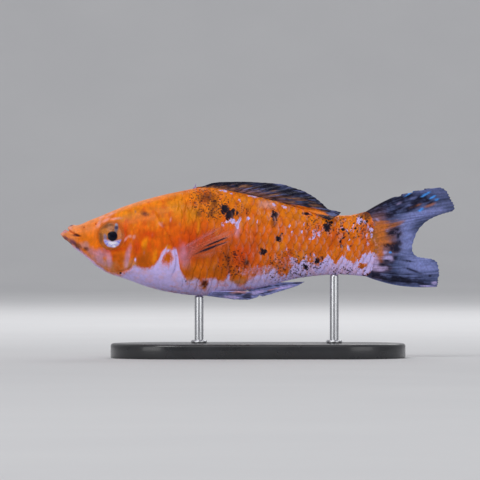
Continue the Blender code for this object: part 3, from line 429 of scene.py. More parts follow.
# Studio, in metres: the floor's flat part and its sweep, and for each light its name, its place, what
# it faces, its width and its share of the key light's power.
FLOOR_RADIUS, FLOOR_SWEEP = 1.4, 0.6
FLOOR_COLUMNS, FLAT_ROWS, SWEPT_ROWS = 97, 4, 12
FISH_MIDDLE = (0.0, 0.0, AXIS_HEIGHT * MM)
LIGHTS = [
    ("key", (-0.3, -0.55, 0.7), FISH_MIDDLE, 0.45, 1.0),
    ("fill", (0.7, -0.75, 0.05), FISH_MIDDLE, 0.7, 0.8),
    ("left", (-0.75, -0.7, 0.03), FISH_MIDDLE, 0.6, 0.75),
    ("rim", (0.15, 0.6, 0.5), FISH_MIDDLE, 0.4, 0.4),
    ("backdrop", (0.0, 0.35, 0.8), (0.0, 1.6, 0.1), 0.6, 1.5),
]
SKY_COLOUR, SKY_STRENGTH = (0.95, 0.96, 1.0, 1.0), 0.5
SENSOR_WIDTH = 36.0
NEAREST_SEEN, FARTHEST_SEEN = 0.01, 20.0


def srgb(red, green, blue):
    """A colour given in 0..255 display values, as the linear values that shaders use."""
    shares = [value / 255 for value in (red, green, blue)]
    return tuple(s / 12.92 if s <= 0.04045 else ((s + 0.055) / 1.055) ** 2.4 for s in shares)


def colour_property(name, description, display):
    """A colour that the panel shows."""
    return bpy.props.FloatVectorProperty(
        name=name, description=description, default=srgb(*display), subtype="COLOR",
        size=3, min=0.0, max=1.0,
    )


def size_property(name, description, default, low, high, **settings):
    """A size, a share or a power that the panel shows."""
    return bpy.props.FloatProperty(
        name=name, description=description, default=default, min=low, max=high, **settings
    )


class MollyBody(bpy.types.PropertyGroup):
    """Sizes of the skin and its scales."""

    scale_spacing: size_property("Scale spacing", "Length of scale that shows, in mm", 1.45, 0.8, 3.0)
    scale_rows: bpy.props.IntProperty(
        name="Scale rows", description="Rows of scales round the body", default=22, min=10, max=40
    )
    scale_lift: size_property(
        "Scale lift", "How far a scale's rear edge stands off, in mm", 0.05, 0.0, 0.4
    )
    gill_flare: size_property(
        "Gill cover", "How far the gill cover stands proud, in mm", 0.34, 0.0, 1.0
    )
    lip_roll: size_property("Lips", "Height of the rolled lips, in mm", 0.2, 0.0, 0.5)


class MollyColours(bpy.types.PropertyGroup):
    """Colours of the fish."""

    gold: colour_property("Gold", "Back and rear flank", (238, 126, 2))
    orange: colour_property("Orange", "Flank", (228, 100, 2))
    # Ember also paints the shade that falls on the flank under the pectoral fin.
    ember: colour_property("Ember", "Flank round the pectoral fin", (212, 66, 2))
    # Ochre is the lower flank's tone, made lighter to make up for the shade under the body: partly
    # painted light.
    ochre: colour_property("Ochre", "Lower flank", (226, 110, 0))
    # Amber also paints highlights by the cheek, the gill cover's edge and the pectoral fin's root.
    amber: colour_property("Amber", "Bright patches of the shoulder", (240, 142, 4))
    sienna: colour_property("Sienna", "Gill cover and throat", (196, 90, 0))
    rose: colour_property("Rose", "Forehead, snout and scale rims", (246, 152, 96))
    peach: colour_property("Peach", "Pale pink marks", (236, 166, 158))
    plum: colour_property("Plum", "Dark marks of the jaw", (72, 36, 84))
    umber: colour_property("Umber", "Base and streaks of the tail fin", (166, 98, 40))
    # Mauve also paints a highlight on the edge of the gill cover's front bone.
    mauve: colour_property("Mauve", "Soft marks of the cheek and fin base", (206, 150, 186))
    lavender: colour_property("Lavender", "Belly and white patches", (214, 196, 255))
    black: colour_property("Black", "Spots", (22, 10, 28))
    brown: colour_property("Brown", "Soft spots", (88, 36, 12))
    slate: colour_property("Slate", "Tail fin's membrane", (72, 84, 130))
    # Navy also paints the shadow on the dorsal fin's draped edge.
    navy: colour_property("Navy", "Dorsal fin and dark streaks", (16, 16, 40))
    # Painted glints: blue sheen of the tail fin laid on as colour.
    blue: colour_property("Blue", "Glints of the tail fin", (70, 150, 240))
    mist: colour_property("Mist", "Pale parts of the fins", (138, 148, 212))
    coral: colour_property("Coral", "Pectoral fins", (228, 112, 74))
    tan: colour_property("Tan", "Throat, and pale rays of the dorsal fin", (196, 136, 92))


class MollyFins(bpy.types.PropertyGroup):
    """Thickness of the fins."""

    membrane: size_property("Membrane", "Thickness of the membrane, in mm", 0.12, 0.05, 0.5)
    ray: size_property("Ray", "Thickness of a ray at its root, in mm", 0.34, 0.1, 1.0)
    ragged: size_property(
        "Ragged edge", "Share of its length by which an edge is notched between rays",
        0.014, 0.0, 0.2, subtype="FACTOR",
    )


class MollyStage(bpy.types.PropertyGroup):
    """Camera and studio."""

    lens: size_property("Lens", "Focal length", 0.4, 0.05, 0.4, unit="CAMERA")
    view_width: size_property(
        "View width", "Width of the picture at the fish", 0.09768, 0.05, 0.5, unit="LENGTH"
    )
    view_centre: size_property(
        "View centre", "Middle of the picture along the fish", -0.00367, -0.1, 0.1, unit="LENGTH"
    )
    key_power: size_property("Key light", "Power of the key light", 3.0, 0.0, 200.0, unit="POWER")


def curve(points):
    """A smooth line through (x, value) points, level past its ends, for arrays of x."""
    xs, values = np.array(points, float).T
    steps = np.diff(values) / np.diff(xs)
    slopes = np.concatenate([steps[:1], (steps[1:] + steps[:-1]) / 2, steps[-1:]])

    def at(x):
        x = np.clip(np.asarray(x, float), xs[0], xs[-1])
        i = np.clip(np.searchsorted(xs, x, side="right") - 1, 0, len(xs) - 2)
        width = xs[i + 1] - xs[i]
        t = (x - xs[i]) / width
        return (
            values[i] * (1 + 2 * t) * (1 - t) ** 2
            + slopes[i] * width * t * (1 - t) ** 2
            + values[i + 1] * t * t * (3 - 2 * t)
            + slopes[i + 1] * width * t * t * (t - 1)
        )

    return at


def smooth_step(value, start, end):
    """0 before start, 1 after end, and a smooth rise between them."""
    t = np.clip((np.asarray(value, float) - start) / (end - start), 0.0, 1.0)
    return t * t * (3 - 2 * t)


def ridge(distance, centre, width):
    """A soft ridge, 1 high where distance equals centre."""
    return np.exp(-(((distance - centre) / width) ** 2))


def value_noise(points, size, seed=0.0):
    """Smooth noise of 0 to 1 whose lumps are about size across, at an array of points."""
    place = points / size + seed * 17.3
    cell = np.floor(place)
    share = place - cell
    share = share * share * (3 - 2 * share)
    total = np.zeros(len(points))
    for corner in np.ndindex(2, 2, 2):
        at = cell + corner
        hashed = np.sin(at @ np.array([127.1, 311.7, 74.7]) + seed) * 43758.5453
        weight = np.prod(np.where(np.array(corner) == 1, share, 1 - share), axis=1)
        total += weight * (hashed - np.floor(hashed))
    return total


def layered_noise(points, size, seed=0.0):
    """Noise of 0 to 1 with three sizes of lumps."""
    return (
        0.55 * value_noise(points, size, seed)
        + 0.3 * value_noise(points, size / 2.1, seed + 1)
        + 0.15 * value_noise(points, size / 4.3, seed + 2)
    )


def path_distance(x, z, path):
    """Distance of each point from a path of straight pieces in the side view."""
    best = np.full(x.shape, 1e9)
    for (ax, az), (bx, bz) in zip(path, path[1:]):
        dx, dz = bx - ax, bz - az
        t = np.clip(((x - ax) * dx + (z - az) * dz) / (dx * dx + dz * dz), 0.0, 1.0)
        best = np.minimum(best, np.hypot(x - ax - t * dx, z - az - t * dz))
    return best


def ellipse_field(x, z, marks):
    """1 in the middle of a mark, 0.5 at its edge and 0 at twice its size, the highest of all marks."""
    field = np.zeros(x.shape)
    for cx, cz, rx, rz, tilt in marks:
        turn = math.radians(tilt)
        dx, dz = x - cx, z - cz
        along = (dx * math.cos(turn) + dz * math.sin(turn)) / rx
        across = (dz * math.cos(turn) - dx * math.sin(turn)) / rz
        field = np.maximum(field, 1 - 0.5 * np.hypot(along, across))
    return field


def other_side(marks, seed):
    """The marks of the right side, a like pattern in other places."""
    moved = []
    for i, (x, z, rx, rz, tilt) in enumerate(marks):
        shift = 2.4 * math.sin(2.3 * i + seed) if x > -30 else 0.0
        rise = 0.7 * math.cos(1.9 * i + seed) if x > -30 else 0.0
        grow = 1 + 0.2 * math.sin(3.1 * i + seed)
        moved.append((x + shift, z + rise, rx * grow, rz * grow, -tilt if x > -30 else tilt))
    return moved


skin_top = curve(SKIN_TOP)
skin_low = curve(SKIN_LOW)
skin_half_width = curve(SKIN_HALF_WIDTH)
widest_level = curve(WIDEST_LEVEL)
back_keel = curve(BACK_KEEL)
belly_keel = curve(BELLY_KEEL)
gill_margin = curve(GILL_MARGIN)
white_edge = curve(WHITE_EDGE)
nape_line = curve(NAPE_LINE)


def section(x, grow=0.0):
    """Top, bottom, widest level and half width of the body at x, all grown outwards by grow."""
    x = np.asarray(x, float)
    top, low, middle, width = skin_top(x), skin_low(x), widest_level(x), skin_half_width(x)
    reach = np.clip((x - STALK_END) / FAN_DEPTH, 0.0, 1.0)
    share = np.sqrt(1 - reach * reach)
    fan = x > STALK_END
    top = np.where(fan, FAN_CENTRE_Z + (top - FAN_CENTRE_Z) * share, top)
    low = np.where(fan, FAN_CENTRE_Z + (low - FAN_CENTRE_Z) * share, low)
    width = width + (FAN_TIP_HALF_WIDTH - width) * smooth_step(x, STALK_END - 1.5, STALK_END + 2.0)
    return top + grow, low - grow, middle, width + grow


def flank_at(x, z, grow=0.0):
    """How far the body's surface stands from its plane of symmetry at x and height z."""
    top, low, middle, width = section(x, grow)
    up = (z - middle) / (top - middle)
    down = (middle - z) / (middle - low)
    share = np.where(z >= middle, up, down)
    keel = np.where(z >= middle, back_keel(x), belly_keel(x))
    return width * np.maximum(0.0, 1 - share * share) ** (keel / 2)


def clear_of_body(x, y, z, distance):
    """Moves a point away from the body's core line until it stands distance off the surface."""
    top, low, middle, _ = (float(v) for v in section(x, distance))

    def outside(share):
        height = middle + (z - middle) * share
        return not low < height < top or abs(y * share) >= flank_at(x, height, distance)

    nearest, farthest = 1.0, 60.0
    if outside(nearest):
        return y, z
    for _ in range(30):
        share = (nearest + farthest) / 2
        if outside(share):
            farthest = share
        else:
            nearest = share
    return y * farthest, middle + (z - middle) * farthest


def head_relief(points, normals, body):
    """How far lips, mouth, nostrils, orbit and gill cover rise or sink, for every point of the skin."""
    x, z = points[..., 0], points[..., 2]
    side = smooth_step(np.abs(normals[..., 1]), 0.15, 0.5)
    mouth = path_distance(x, z, MOUTH_LINE)
    line = np.interp(x, *np.array(MOUTH_LINE).T)
    near_mouth = 1 - smooth_step(x, -36.6, -35.9)
    above = np.where(z > line, 1.0, 0.85)
    relief = body.lip_roll * above * ridge(mouth, LIP_OFFSET, LIP_WIDTH) * near_mouth
    relief -= MOUTH_DEPTH * ridge(mouth, 0.0, MOUTH_WIDTH) * near_mouth
    relief -= CORNER_DEPTH * ridge(path_distance(x, z, CORNER_FOLD), 0.0, CORNER_WIDTH)
    for place in NOSTRILS:
        away = np.hypot(x - place[0], z - place[1])
        rim = NOSTRIL_RIM_HEIGHT * ridge(away, NOSTRIL_RIM_OFFSET, NOSTRIL_RIM_WIDTH)
        relief += side * (rim - NOSTRIL_DEPTH * ridge(away, 0.0, NOSTRIL_WIDTH))
    orbit = np.hypot(x - EYE_CENTRE[0], z - EYE_CENTRE[1])
    relief += side * ORBIT_HEIGHT * ridge(orbit, EYE_OPENING + ORBIT_OFFSET, ORBIT_WIDTH)
    relief -= side * SOCKET_DEPTH * (1 - smooth_step(orbit, EYE_OPENING - 0.5, EYE_OPENING + 0.02))
    cheek = path_distance(x, z, CHEEK_GROOVE)
    relief -= side * CHEEK_DEPTH * ridge(cheek, 0.0, CHEEK_WIDTH)
    bone = path_distance(x, z, PREOPERCLE)
    rim = BONE_HEIGHT * ridge(bone, BONE_OFFSET, BONE_WIDTH)
    relief += side * (rim - BONE_GROOVE_DEPTH * ridge(bone, 0.0, BONE_GROOVE_WIDTH))
    behind = x - gill_margin(z)
    level = smooth_step(z, -9.0, -4.0) * (1 - smooth_step(z, 3.6, 6.4))
    cover = np.where(behind < 0, np.exp(np.minimum(behind, 0) / GILL_COVER_LENGTH), 0.0)
    cover *= 1 - smooth_step(behind, -0.1, 0.1)
    groove = GILL_GROOVE_DEPTH * smooth_step(z, -6.0, -2.0) + 0.02
    groove = groove * ridge(behind, GILL_GROOVE_OFFSET, GILL_GROOVE_WIDTH)
    relief += side * level * (body.gill_flare * cover - groove)
    return relief


class BodySurface:
    """The skin as a net of points: stations along the fish, and rings from belly to belly."""

    def __init__(self, body):
        half = POINTS_AROUND // 2
        runs = [np.linspace(*run) for run in STATION_RUNS]
        fan_turn = np.linspace(FAN_FIRST_TURN, math.pi / 2, FAN_STATIONS)
        self.stations = np.concatenate([*runs, STALK_END + FAN_DEPTH * np.sin(fan_turn)])
        turn = np.linspace(0, math.pi, 4 * half + 1)
        rings = []
        for x in self.stations:
            top, low, middle, width = section(x, -SKIN_INSET)
            keel = np.where(turn < math.pi / 2, back_keel(x), belly_keel(x))
            height = np.where(turn < math.pi / 2, top - middle, middle - low)
            y = max(width, 0.02) * np.abs(np.sin(turn)) ** keel
            z = middle + height * np.cos(turn)
            length = np.concatenate([[0.0], np.cumsum(np.hypot(np.diff(y), np.diff(z)))])
            even = np.linspace(0, length[-1], half + 1)
            y, z = np.interp(even, length, y), np.interp(even, length, z)
            ring = np.stack([np.full(half + 1, x), -y, z], axis=1)
            rings.append(np.concatenate([ring[::-1], ring[1:] * (1, -1, 1)]))
        self.points = np.array(rings)
        self.normals = self.facing()
        relief = head_relief(self.points, self.normals, body)
        self.points = self.points + self.normals * relief[..., None]
        self.normals = self.facing()

    def facing(self):
        """Outward normals of the net."""
        along = np.gradient(self.points, axis=0)
        round_body = np.gradient(self.points, axis=1)
        normals = np.cross(along, round_body)
        size = np.linalg.norm(normals, axis=-1, keepdims=True)
        normals = normals / np.maximum(size, 1e-9)
        normals[0] = (-1, 0, 0)
        normals[-1] = (1, 0, 0)
        return normals

    def at(self, x, ring):
        """Points and normals at x and at ring shares from -1, under the left belly, to 1."""
        i = np.interp(x, self.stations, np.arange(len(self.stations)))
        j = ((np.asarray(ring) + 1) % 2) / 2 * POINTS_AROUND
        i0 = np.clip(np.floor(i).astype(int), 0, len(self.stations) - 2)
        j0 = np.clip(np.floor(j).astype(int), 0, POINTS_AROUND - 1)
        si, sj = (i - i0)[..., None], (j - j0)[..., None]
        found = []
        for net in (self.points, self.normals):
            low = net[i0, j0] * (1 - sj) + net[i0, j0 + 1] * sj
            high = net[i0 + 1, j0] * (1 - sj) + net[i0 + 1, j0 + 1] * sj
            found.append(low * (1 - si) + high * si)
        return found


def pigments(points, colours):
    """Colour and marking fields of skin and scales at an array of points, the same for both.

    tint is the orange coat with its soft marks, among them painted shade under the pectoral fin and
    painted highlights on the cheek and gill cover. The fields run from 0 to about 1: white for the belly
    and its flecks, with a painted highlight at the pectoral fin's root, soft where the white melts into
    the orange, black for spots, smudge for brown, speckle where specks stand, and rear where the scales'
    rims are pale.
    """
    x, y, z = points.T
    # 0 on the left side and 1 on the right, with a quick change at the back and belly.
    right = smooth_step(y / np.maximum(section(x)[3], 0.2), -0.12, 0.12)
    patchy = layered_noise(points, 3.2, 4.0)
    fine = layered_noise(points, 0.9, 9.0)
    combed = layered_noise(points * (1.0, 1.0, 0.4), 0.9, 2.0)

    def both(marks, seed):
        """The field of the left side's marks and of their like on the right."""
        left_field = ellipse_field(x, z, marks)
        return left_field * (1 - right) + ellipse_field(x, z, other_side(marks, seed)) * right

    # The right side's white edge runs a little differently.
    wave = right * (0.8 * np.sin(x * 0.55 + 1.0) + 0.4 * np.sin(x * 1.3))
    upper = smooth_step(z, 1.0, 6.5)
    rear = smooth_step(x, -2.0, 10.0)
    tint = np.tile(np.array(colours.orange), (len(x), 1))

    def blend(colour, amount):
        """Lays a colour over the tint."""
        nonlocal tint
        amount = np.clip(amount, 0, 1)[:, None]
        tint = tint * (1 - amount) + np.array(colour) * amount

    blend(colours.gold, upper * 0.9 + 0.8 * rear * patchy)
    guides = {"x": x, "z": z, "over_back": z - skin_top(x), "combed": combed, "patchy": patchy}
    for name, strength, limits in COAT_WASHES:
        rises = [smooth_step(guides[guide], *span) for guide, span in limits.items()]
        blend(getattr(colours, name), strength * np.prod(rises, axis=0))
    lines = layered_noise(points * (0.3, 1.0, 1.8), 0.8, 6.0)
    blend(colours.umber, smooth_step(x + 1.6 * (combed - 0.5), 22.9, 23.8) * (0.35 + 0.6 * lines))
    orbit = np.hypot(x - EYE_CENTRE[0], z - EYE_CENTRE[1])
    blend(colours.sienna, 0.5 * ridge(orbit, EYE_OPENING + 0.1, 0.35))
    off_chin = np.where(x < -34.0, smooth_step(np.abs(y), 0.2, 0.8), 1.0)
    # Soft marks, among them painted shade under the pectoral fin and painted highlights on the cheek and
    # gill cover.
    for name, strength, marks in SOFT_MARKS_AND_PAINTED_LIGHT:
        reach = both(marks, 2.0) + 0.7 * (combed - 0.5) + 0.3 * (fine - 0.5)
        reach = smooth_step(reach, 0.15, 0.9) * strength
        blend(getattr(colours, name), reach * (off_chin if name in ("navy", "plum") else 1.0))
    shade = 0.8 + 0.4 * patchy + 0.2 * (fine - 0.5)
    tint = tint * shade[:, None]

    white = 0.5 + (white_edge(x) + wave - z) / WHITE_EDGE_WIDTH
    white = np.minimum(white, WHITEST)
    white *= smooth_step(-z, 0.4, 1.2)
    cut = both(ORANGE_PATCHES, 1.0)
    white = np.where(cut > 0.0, np.minimum(white, 1.0 - cut), white)
    white = np.minimum(white, 1.0 - STREAK_SHARE * both(BELLY_STREAKS, 1.0))
    # White flecks, among them a painted highlight at the pectoral fin's root.
    white = np.maximum(white, both(WHITE_FLECKS_AND_GLINT, 3.0) * 1.05)
    white = np.maximum(white, MOTTLE_SHARE * smooth_step(both(WHITE_MOTTLES, 4.0), 0.2, 0.75))
    low_flank = smooth_step(-z, 1.0, 3.0) * (1 - smooth_step(x, -1.0, 8.0))
    return {
        "tint": tint,
        "white": np.clip(white, 0, 1),
        "black": np.clip(both(BLACK_SPOTS, 5.0), 0, 1),
        "soft": np.maximum(1 - smooth_step(x, -15.0, -7.0), low_flank),
        "smudge": np.maximum(
            smooth_step(both(BROWN_SMUDGES, 6.0), 0.1, 0.8) * off_chin,
            1.35 * smooth_step(both(BROWN_DOTS, 6.0), 0.36, 0.6),
        ),
        "speckle": smooth_step(both(SPECKLE_ZONES, 7.0) + 0.3 * (fine - 0.5), 0.15, 0.6),
        "rear": (0.25 + 0.75 * smooth_step(x, -6.0, 4.0)) * smooth_step(x, -14.0, -9.0),
    }


def write_fields(mesh, fields):
    """Stores arrays of numbers or colours as attributes of a mesh's points."""
    for name, values in fields.items():
        values = np.asarray(values, np.float32)
        if values.ndim == 1:
            mesh.attributes.new(name, "FLOAT", "POINT").data.foreach_set("value", values)
            continue
        solid = np.ones((len(values), 4), np.float32)
        solid[:, :3] = values
        mesh.attributes.new(name, "FLOAT_COLOR", "POINT").data.foreach_set("color", solid.ravel())


def place_points(mesh, points):
    """Puts points in millimetres round the body axis into a mesh in metres."""
    placed = (np.asarray(points, float).reshape(-1, 3) + (0, 0, AXIS_HEIGHT)) * MM
    mesh.vertices.foreach_set("co", placed.astype(np.float32).ravel())
    mesh.update()


def deselect():
    """Leaves edit mode and selects nothing."""
    if bpy.context.object and bpy.context.object.mode != "OBJECT":
        bpy.ops.object.mode_set(mode="OBJECT")
    bpy.ops.object.select_all(action="DESELECT")


def corners_of(piece):
    """The places of a piece's vertices."""
    places = np.zeros(len(piece.data.vertices) * 3, np.float32)
    piece.data.vertices.foreach_get("co", places)
    return places.reshape(-1, 3)


def grid_piece(name, columns, rows):
    """A new flat grid, and for each of its vertices its column and row."""
    deselect()
    bpy.ops.mesh.primitive_grid_add(x_subdivisions=columns - 1, y_subdivisions=rows - 1, size=2.0)
    piece = bpy.context.object
    piece.name = piece.data.name = name
    flat = corners_of(piece)
    column = np.rint((flat[:, 0] + 1) / 2 * (columns - 1)).astype(int)
    row = np.rint((flat[:, 1] + 1) / 2 * (rows - 1)).astype(int)
    return piece, column, row


def close_up(piece, threshold=2e-6):
    """Merges the seam and the poles of a piece, and turns its faces outwards."""
    deselect()
    piece.select_set(True)
    bpy.context.view_layer.objects.active = piece
    bpy.ops.object.mode_set(mode="EDIT")
    bpy.ops.mesh.select_all(action="SELECT")
    bpy.ops.mesh.remove_doubles(threshold=threshold)
    bpy.ops.mesh.normals_make_consistent(inside=False)
    bpy.ops.object.mode_set(mode="OBJECT")
    bpy.ops.object.shade_smooth()


def finish_piece(piece, material, slot, *nodes):
    """Gives a piece its material, its place in the frame and the nodes that it stands for."""
    piece.data.materials.clear()
    piece.data.materials.append(material)
    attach(piece, "root")
    if nodes:
        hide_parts(*nodes)


class Graph:
    """Short calls for adding and joining the nodes of one tree."""

    def __init__(self, tree):
        self.tree = tree

    def add(self, kind, values=None, links=None, **settings):
        """Adds a node, with values and links for its inputs."""
        node = self.tree.nodes.new(kind)
        for key, value in settings.items():
            setattr(node, key, value)
        for key, value in (values or {}).items():
            node.inputs[key].default_value = value
        for key, source in (links or {}).items():
            self.tree.links.new(source, node.inputs[key])
        return node

    def feed(self, node, index, value):
        """Links a socket or sets a number."""
        if isinstance(value, bpy.types.NodeSocket):
            self.tree.links.new(value, node.inputs[index])
        else:
            node.inputs[index].default_value = value

    def math(self, operation, first, second=0.0, third=None):
        """One step of arithmetic."""
        node = self.add("ShaderNodeMath", operation=operation)
        self.feed(node, 0, first)
        self.feed(node, 1, second)
        if third is not None:
            self.feed(node, 2, third)
        return node.outputs[0]

    def mix(self, share, first, second):
        """A colour between two."""
        node = self.add("ShaderNodeMix", data_type="RGBA")
        self.feed(node, 0, share)
        self.feed(node, 6, first if isinstance(first, bpy.types.NodeSocket) else (*first, 1.0))
        self.feed(node, 7, second if isinstance(second, bpy.types.NodeSocket) else (*second, 1.0))
        return node.outputs[2]

    def smooth(self, value, low, high, start=0.0, end=1.0):
        """A smooth rise from start to end as value goes from low to high."""
        node = self.add("ShaderNodeMapRange", interpolation_type="SMOOTHSTEP")
        self.feed(node, 0, value)
        for index, limit in enumerate((low, high, start, end), start=1):
            node.inputs[index].default_value = limit
        return node.outputs[0]

    def field(self, name):
        """The attribute node of a stored field."""
        return self.add("ShaderNodeAttribute", attribute_name=name)

    def place(self):
        """Object coordinates."""
        return self.add("ShaderNodeTexCoord").outputs["Object"]

    def noise(self, size, detail=3.0, roughness=0.55, place=None, output="Fac"):
        """Noise of 0 to 1 with lumps of about size in millimetres."""
        node = self.add(
            "ShaderNodeTexNoise", {"Scale": 1 / (size * MM), "Detail": detail, "Roughness": roughness},
            {"Vector": place or self.place()},
        )
        return node.outputs[output]

    def scaled(self, vector, amount):
        """A colour times a number."""
        node = self.add("ShaderNodeVectorMath", links={0: vector}, operation="SCALE")
        self.feed(node, "Scale", amount)
        return node.outputs[0]

    def between(self, share, first, second):
        """A number between two."""
        node = self.add("ShaderNodeMix", data_type="FLOAT", clamp_factor=True)
        self.feed(node, 0, share)
        self.feed(node, 2, first)
        self.feed(node, 3, second)
        return node.outputs[0]

    def bump(self, height, strength, distance):
        """A normal that a height tilts."""
        limits = {"Strength": strength, "Distance": distance}
        node = self.add("ShaderNodeBump", limits, {"Height": height})
        return node.outputs["Normal"]

    def wire(self, node, **sources):
        """Links sources to a node's inputs by their labels, with _ for a space."""
        for label, source in sources.items():
            self.tree.links.new(source, node.inputs[label.replace("_", " ")])


def new_group(name, inputs, outputs):
    """An empty shader node group with named sockets, and its input and output nodes."""
    tree = bpy.data.node_groups.new(name, "ShaderNodeTree")
    for label, kind, default in inputs:
        socket = tree.interface.new_socket(label, in_out="INPUT", socket_type=kind)
        socket.default_value = default
    for label, kind in outputs:
        tree.interface.new_socket(label, in_out="OUTPUT", socket_type=kind)
    graph = Graph(tree)
    return graph, graph.add("NodeGroupInput"), graph.add("NodeGroupOutput")


def pigment_group(colours):
    """The markings that skin and scales share, from their stored fields."""
    known = bpy.data.node_groups.get("calico_pigment")
    if known:
        return known
    graph, given, result = new_group(
        "calico_pigment",
        [
            ("Lavender", "NodeSocketColor", (*colours.lavender, 1)),
            ("Black", "NodeSocketColor", (*colours.black, 1)),
            ("Brown", "NodeSocketColor", (*colours.brown, 1)),
        ],
        [("Color", "NodeSocketColor"), ("Roughness", "NodeSocketFloat"), ("Height", "NodeSocketFloat")],
    )
    tall = graph.add("ShaderNodeMapping", {"Scale": STREAK_STRETCH}, {"Vector": graph.place()})
    streak = graph.noise(STREAK_SIZE, 4.0, 0.6, tall.outputs[0])
    streak_off = graph.math("SUBTRACT", streak, 0.5)
    middling = graph.math("SUBTRACT", graph.noise(SPOT_EDGE_SIZE), 0.5)
    fine = graph.math("SUBTRACT", graph.noise(SPECK_SIZE, 4.0, 0.62), 0.5)
    jitter = graph.noise(SPECK_SIZE, 4.0, 0.62, output="Color")
    ragged = graph.math("MULTIPLY_ADD", fine, 0.9, graph.math("MULTIPLY", streak_off, 1.5))
    soft = graph.field("soft").outputs["Fac"]
    worn = graph.math("MULTIPLY", ragged, graph.smooth(soft, 0.0, 1.0, 1.0, 0.55))
    whiteness = graph.math("ADD", worn, graph.field("white").outputs["Fac"])
    white = graph.between(soft, graph.smooth(whiteness, *SHARP_EDGE), graph.smooth(whiteness, *SOFT_EDGE))
    spotty = graph.math("MULTIPLY_ADD", fine, 1.0, graph.math("MULTIPLY", middling, 0.6))
    black = graph.math("ADD", spotty, graph.field("black").outputs["Fac"])
    black = graph.smooth(black, *SPOT_EDGE)
    shaken = graph.add(
        "ShaderNodeVectorMath", {1: (SPECK_JITTER, SPECK_JITTER, SPECK_JITTER)},
        {0: jitter, 2: graph.place()}, operation="MULTIPLY_ADD",
    )
    cells = graph.add(
        "ShaderNodeTexVoronoi", {"Scale": 1 / (SPECK_SIZE * MM), "Randomness": 1.0},
        {"Vector": shaken.outputs[0]},
    )
    chance = graph.add("ShaderNodeSeparateColor", links={"Color": cells.outputs["Color"]})
    size = graph.math("MULTIPLY_ADD", chance.outputs["Red"], 0.96, -0.2)
    size = graph.math("MULTIPLY", size, graph.field("speckle").outputs["Fac"])
    dots = graph.smooth(graph.math("SUBTRACT", size, cells.outputs["Distance"]), -0.03, 0.1)
    dots = graph.math("MULTIPLY", dots, graph.smooth(chance.outputs["Green"], 0.0, 0.5, 0.55, 1.0))
    tint = graph.field("tint").outputs["Color"]
    mottle = graph.smooth(graph.math("ADD", streak_off, graph.noise(1.1, 4.0)), 0.25, 0.8, 0.84, 1.14)
    pale = graph.smooth(streak, 0.56, 0.7, 0.0, 0.5)
    pale = graph.math("MULTIPLY", pale, graph.field("rear").outputs["Fac"])
    colour = graph.mix(pale, graph.scaled(tint, mottle), colours.peach)
    patch = graph.smooth(fine, -0.2, 0.2, 0.55, 0.95)
    smudge = graph.math("MULTIPLY", graph.field("smudge").outputs["Fac"], patch)
    cloud = graph.smooth(graph.noise(0.7, 4.0), 0.3, 0.7, 0.88, 1.06)
    milk = graph.scaled(given.outputs["Lavender"], cloud)
    blush = graph.smooth(graph.noise(2.0, 3.0), 0.45, 0.7, 0.0, 0.34)
    colour = graph.mix(white, colour, graph.mix(blush, milk, colours.peach))
    colour = graph.mix(smudge, colour, given.outputs["Brown"])
    dark = graph.math("MAXIMUM", black, graph.math("MULTIPLY", dots, 0.85))
    colour = graph.mix(dark, colour, given.outputs["Black"])
    roughness = graph.smooth(graph.noise(0.5, 3.0), 0.3, 0.7, 0.34, 0.5)
    height = graph.math("MULTIPLY_ADD", dark, -0.25, graph.noise(0.25, 3.0))
    graph.wire(result, Color=colour, Roughness=roughness, Height=height)
    return graph.tree


def new_material(name, **constants):
    """An empty material with a Principled shader and its plain settings."""
    material = bpy.data.materials.new(name)
    material.use_nodes = True
    shader = material.node_tree.nodes["Principled BSDF"]
    for label, value in constants.items():
        shader.inputs[label.replace("_", " ")].default_value = value
    return material, Graph(material.node_tree), shader


def body_material(name, colours, bump, scales):
    """Wet skin with the calico markings, and on scales their growth rings and pale rear rims."""
    material, graph, shader = new_material(
        name, Subsurface_Weight=0.04, Subsurface_Radius=(0.6, 0.2, 0.1), Subsurface_Scale=0.0006,
        Specular_IOR_Level=0.12, Coat_Weight=0.06, Coat_Roughness=0.12,
    )
    pigment = graph.add("ShaderNodeGroup", node_tree=pigment_group(colours))
    colour, height = pigment.outputs["Color"], pigment.outputs["Height"]
    if scales:
        rim = graph.field("rim").outputs["Fac"]
        patch = graph.smooth(graph.noise(1.8, 3.0), 0.42, 0.62, 0.08, 0.9)
        pale = graph.math("MULTIPLY", rim, patch)
        pale = graph.math("MULTIPLY", pale, graph.field("rear").outputs["Fac"])
        colour = graph.mix(pale, colour, colours.peach)
        growth = graph.math("MULTIPLY", graph.field("growth").outputs["Fac"], GROWTH_RINGS)
        height = graph.math("MULTIPLY_ADD", graph.math("SINE", growth), 0.12, height)
    else:
        pores = graph.add(
            "ShaderNodeTexVoronoi", {"Scale": 1 / (PORE_SPACING * MM)}, {"Vector": graph.place()}
        )
        pits = graph.smooth(pores.outputs["Distance"], 0.0, 0.5)
        height = graph.math("MULTIPLY_ADD", pits, 0.5, height)
    graph.wire(
        shader, Base_Color=colour, Roughness=pigment.outputs["Roughness"],
        Normal=graph.bump(height, bump, 0.06 * MM),
    )
    return material


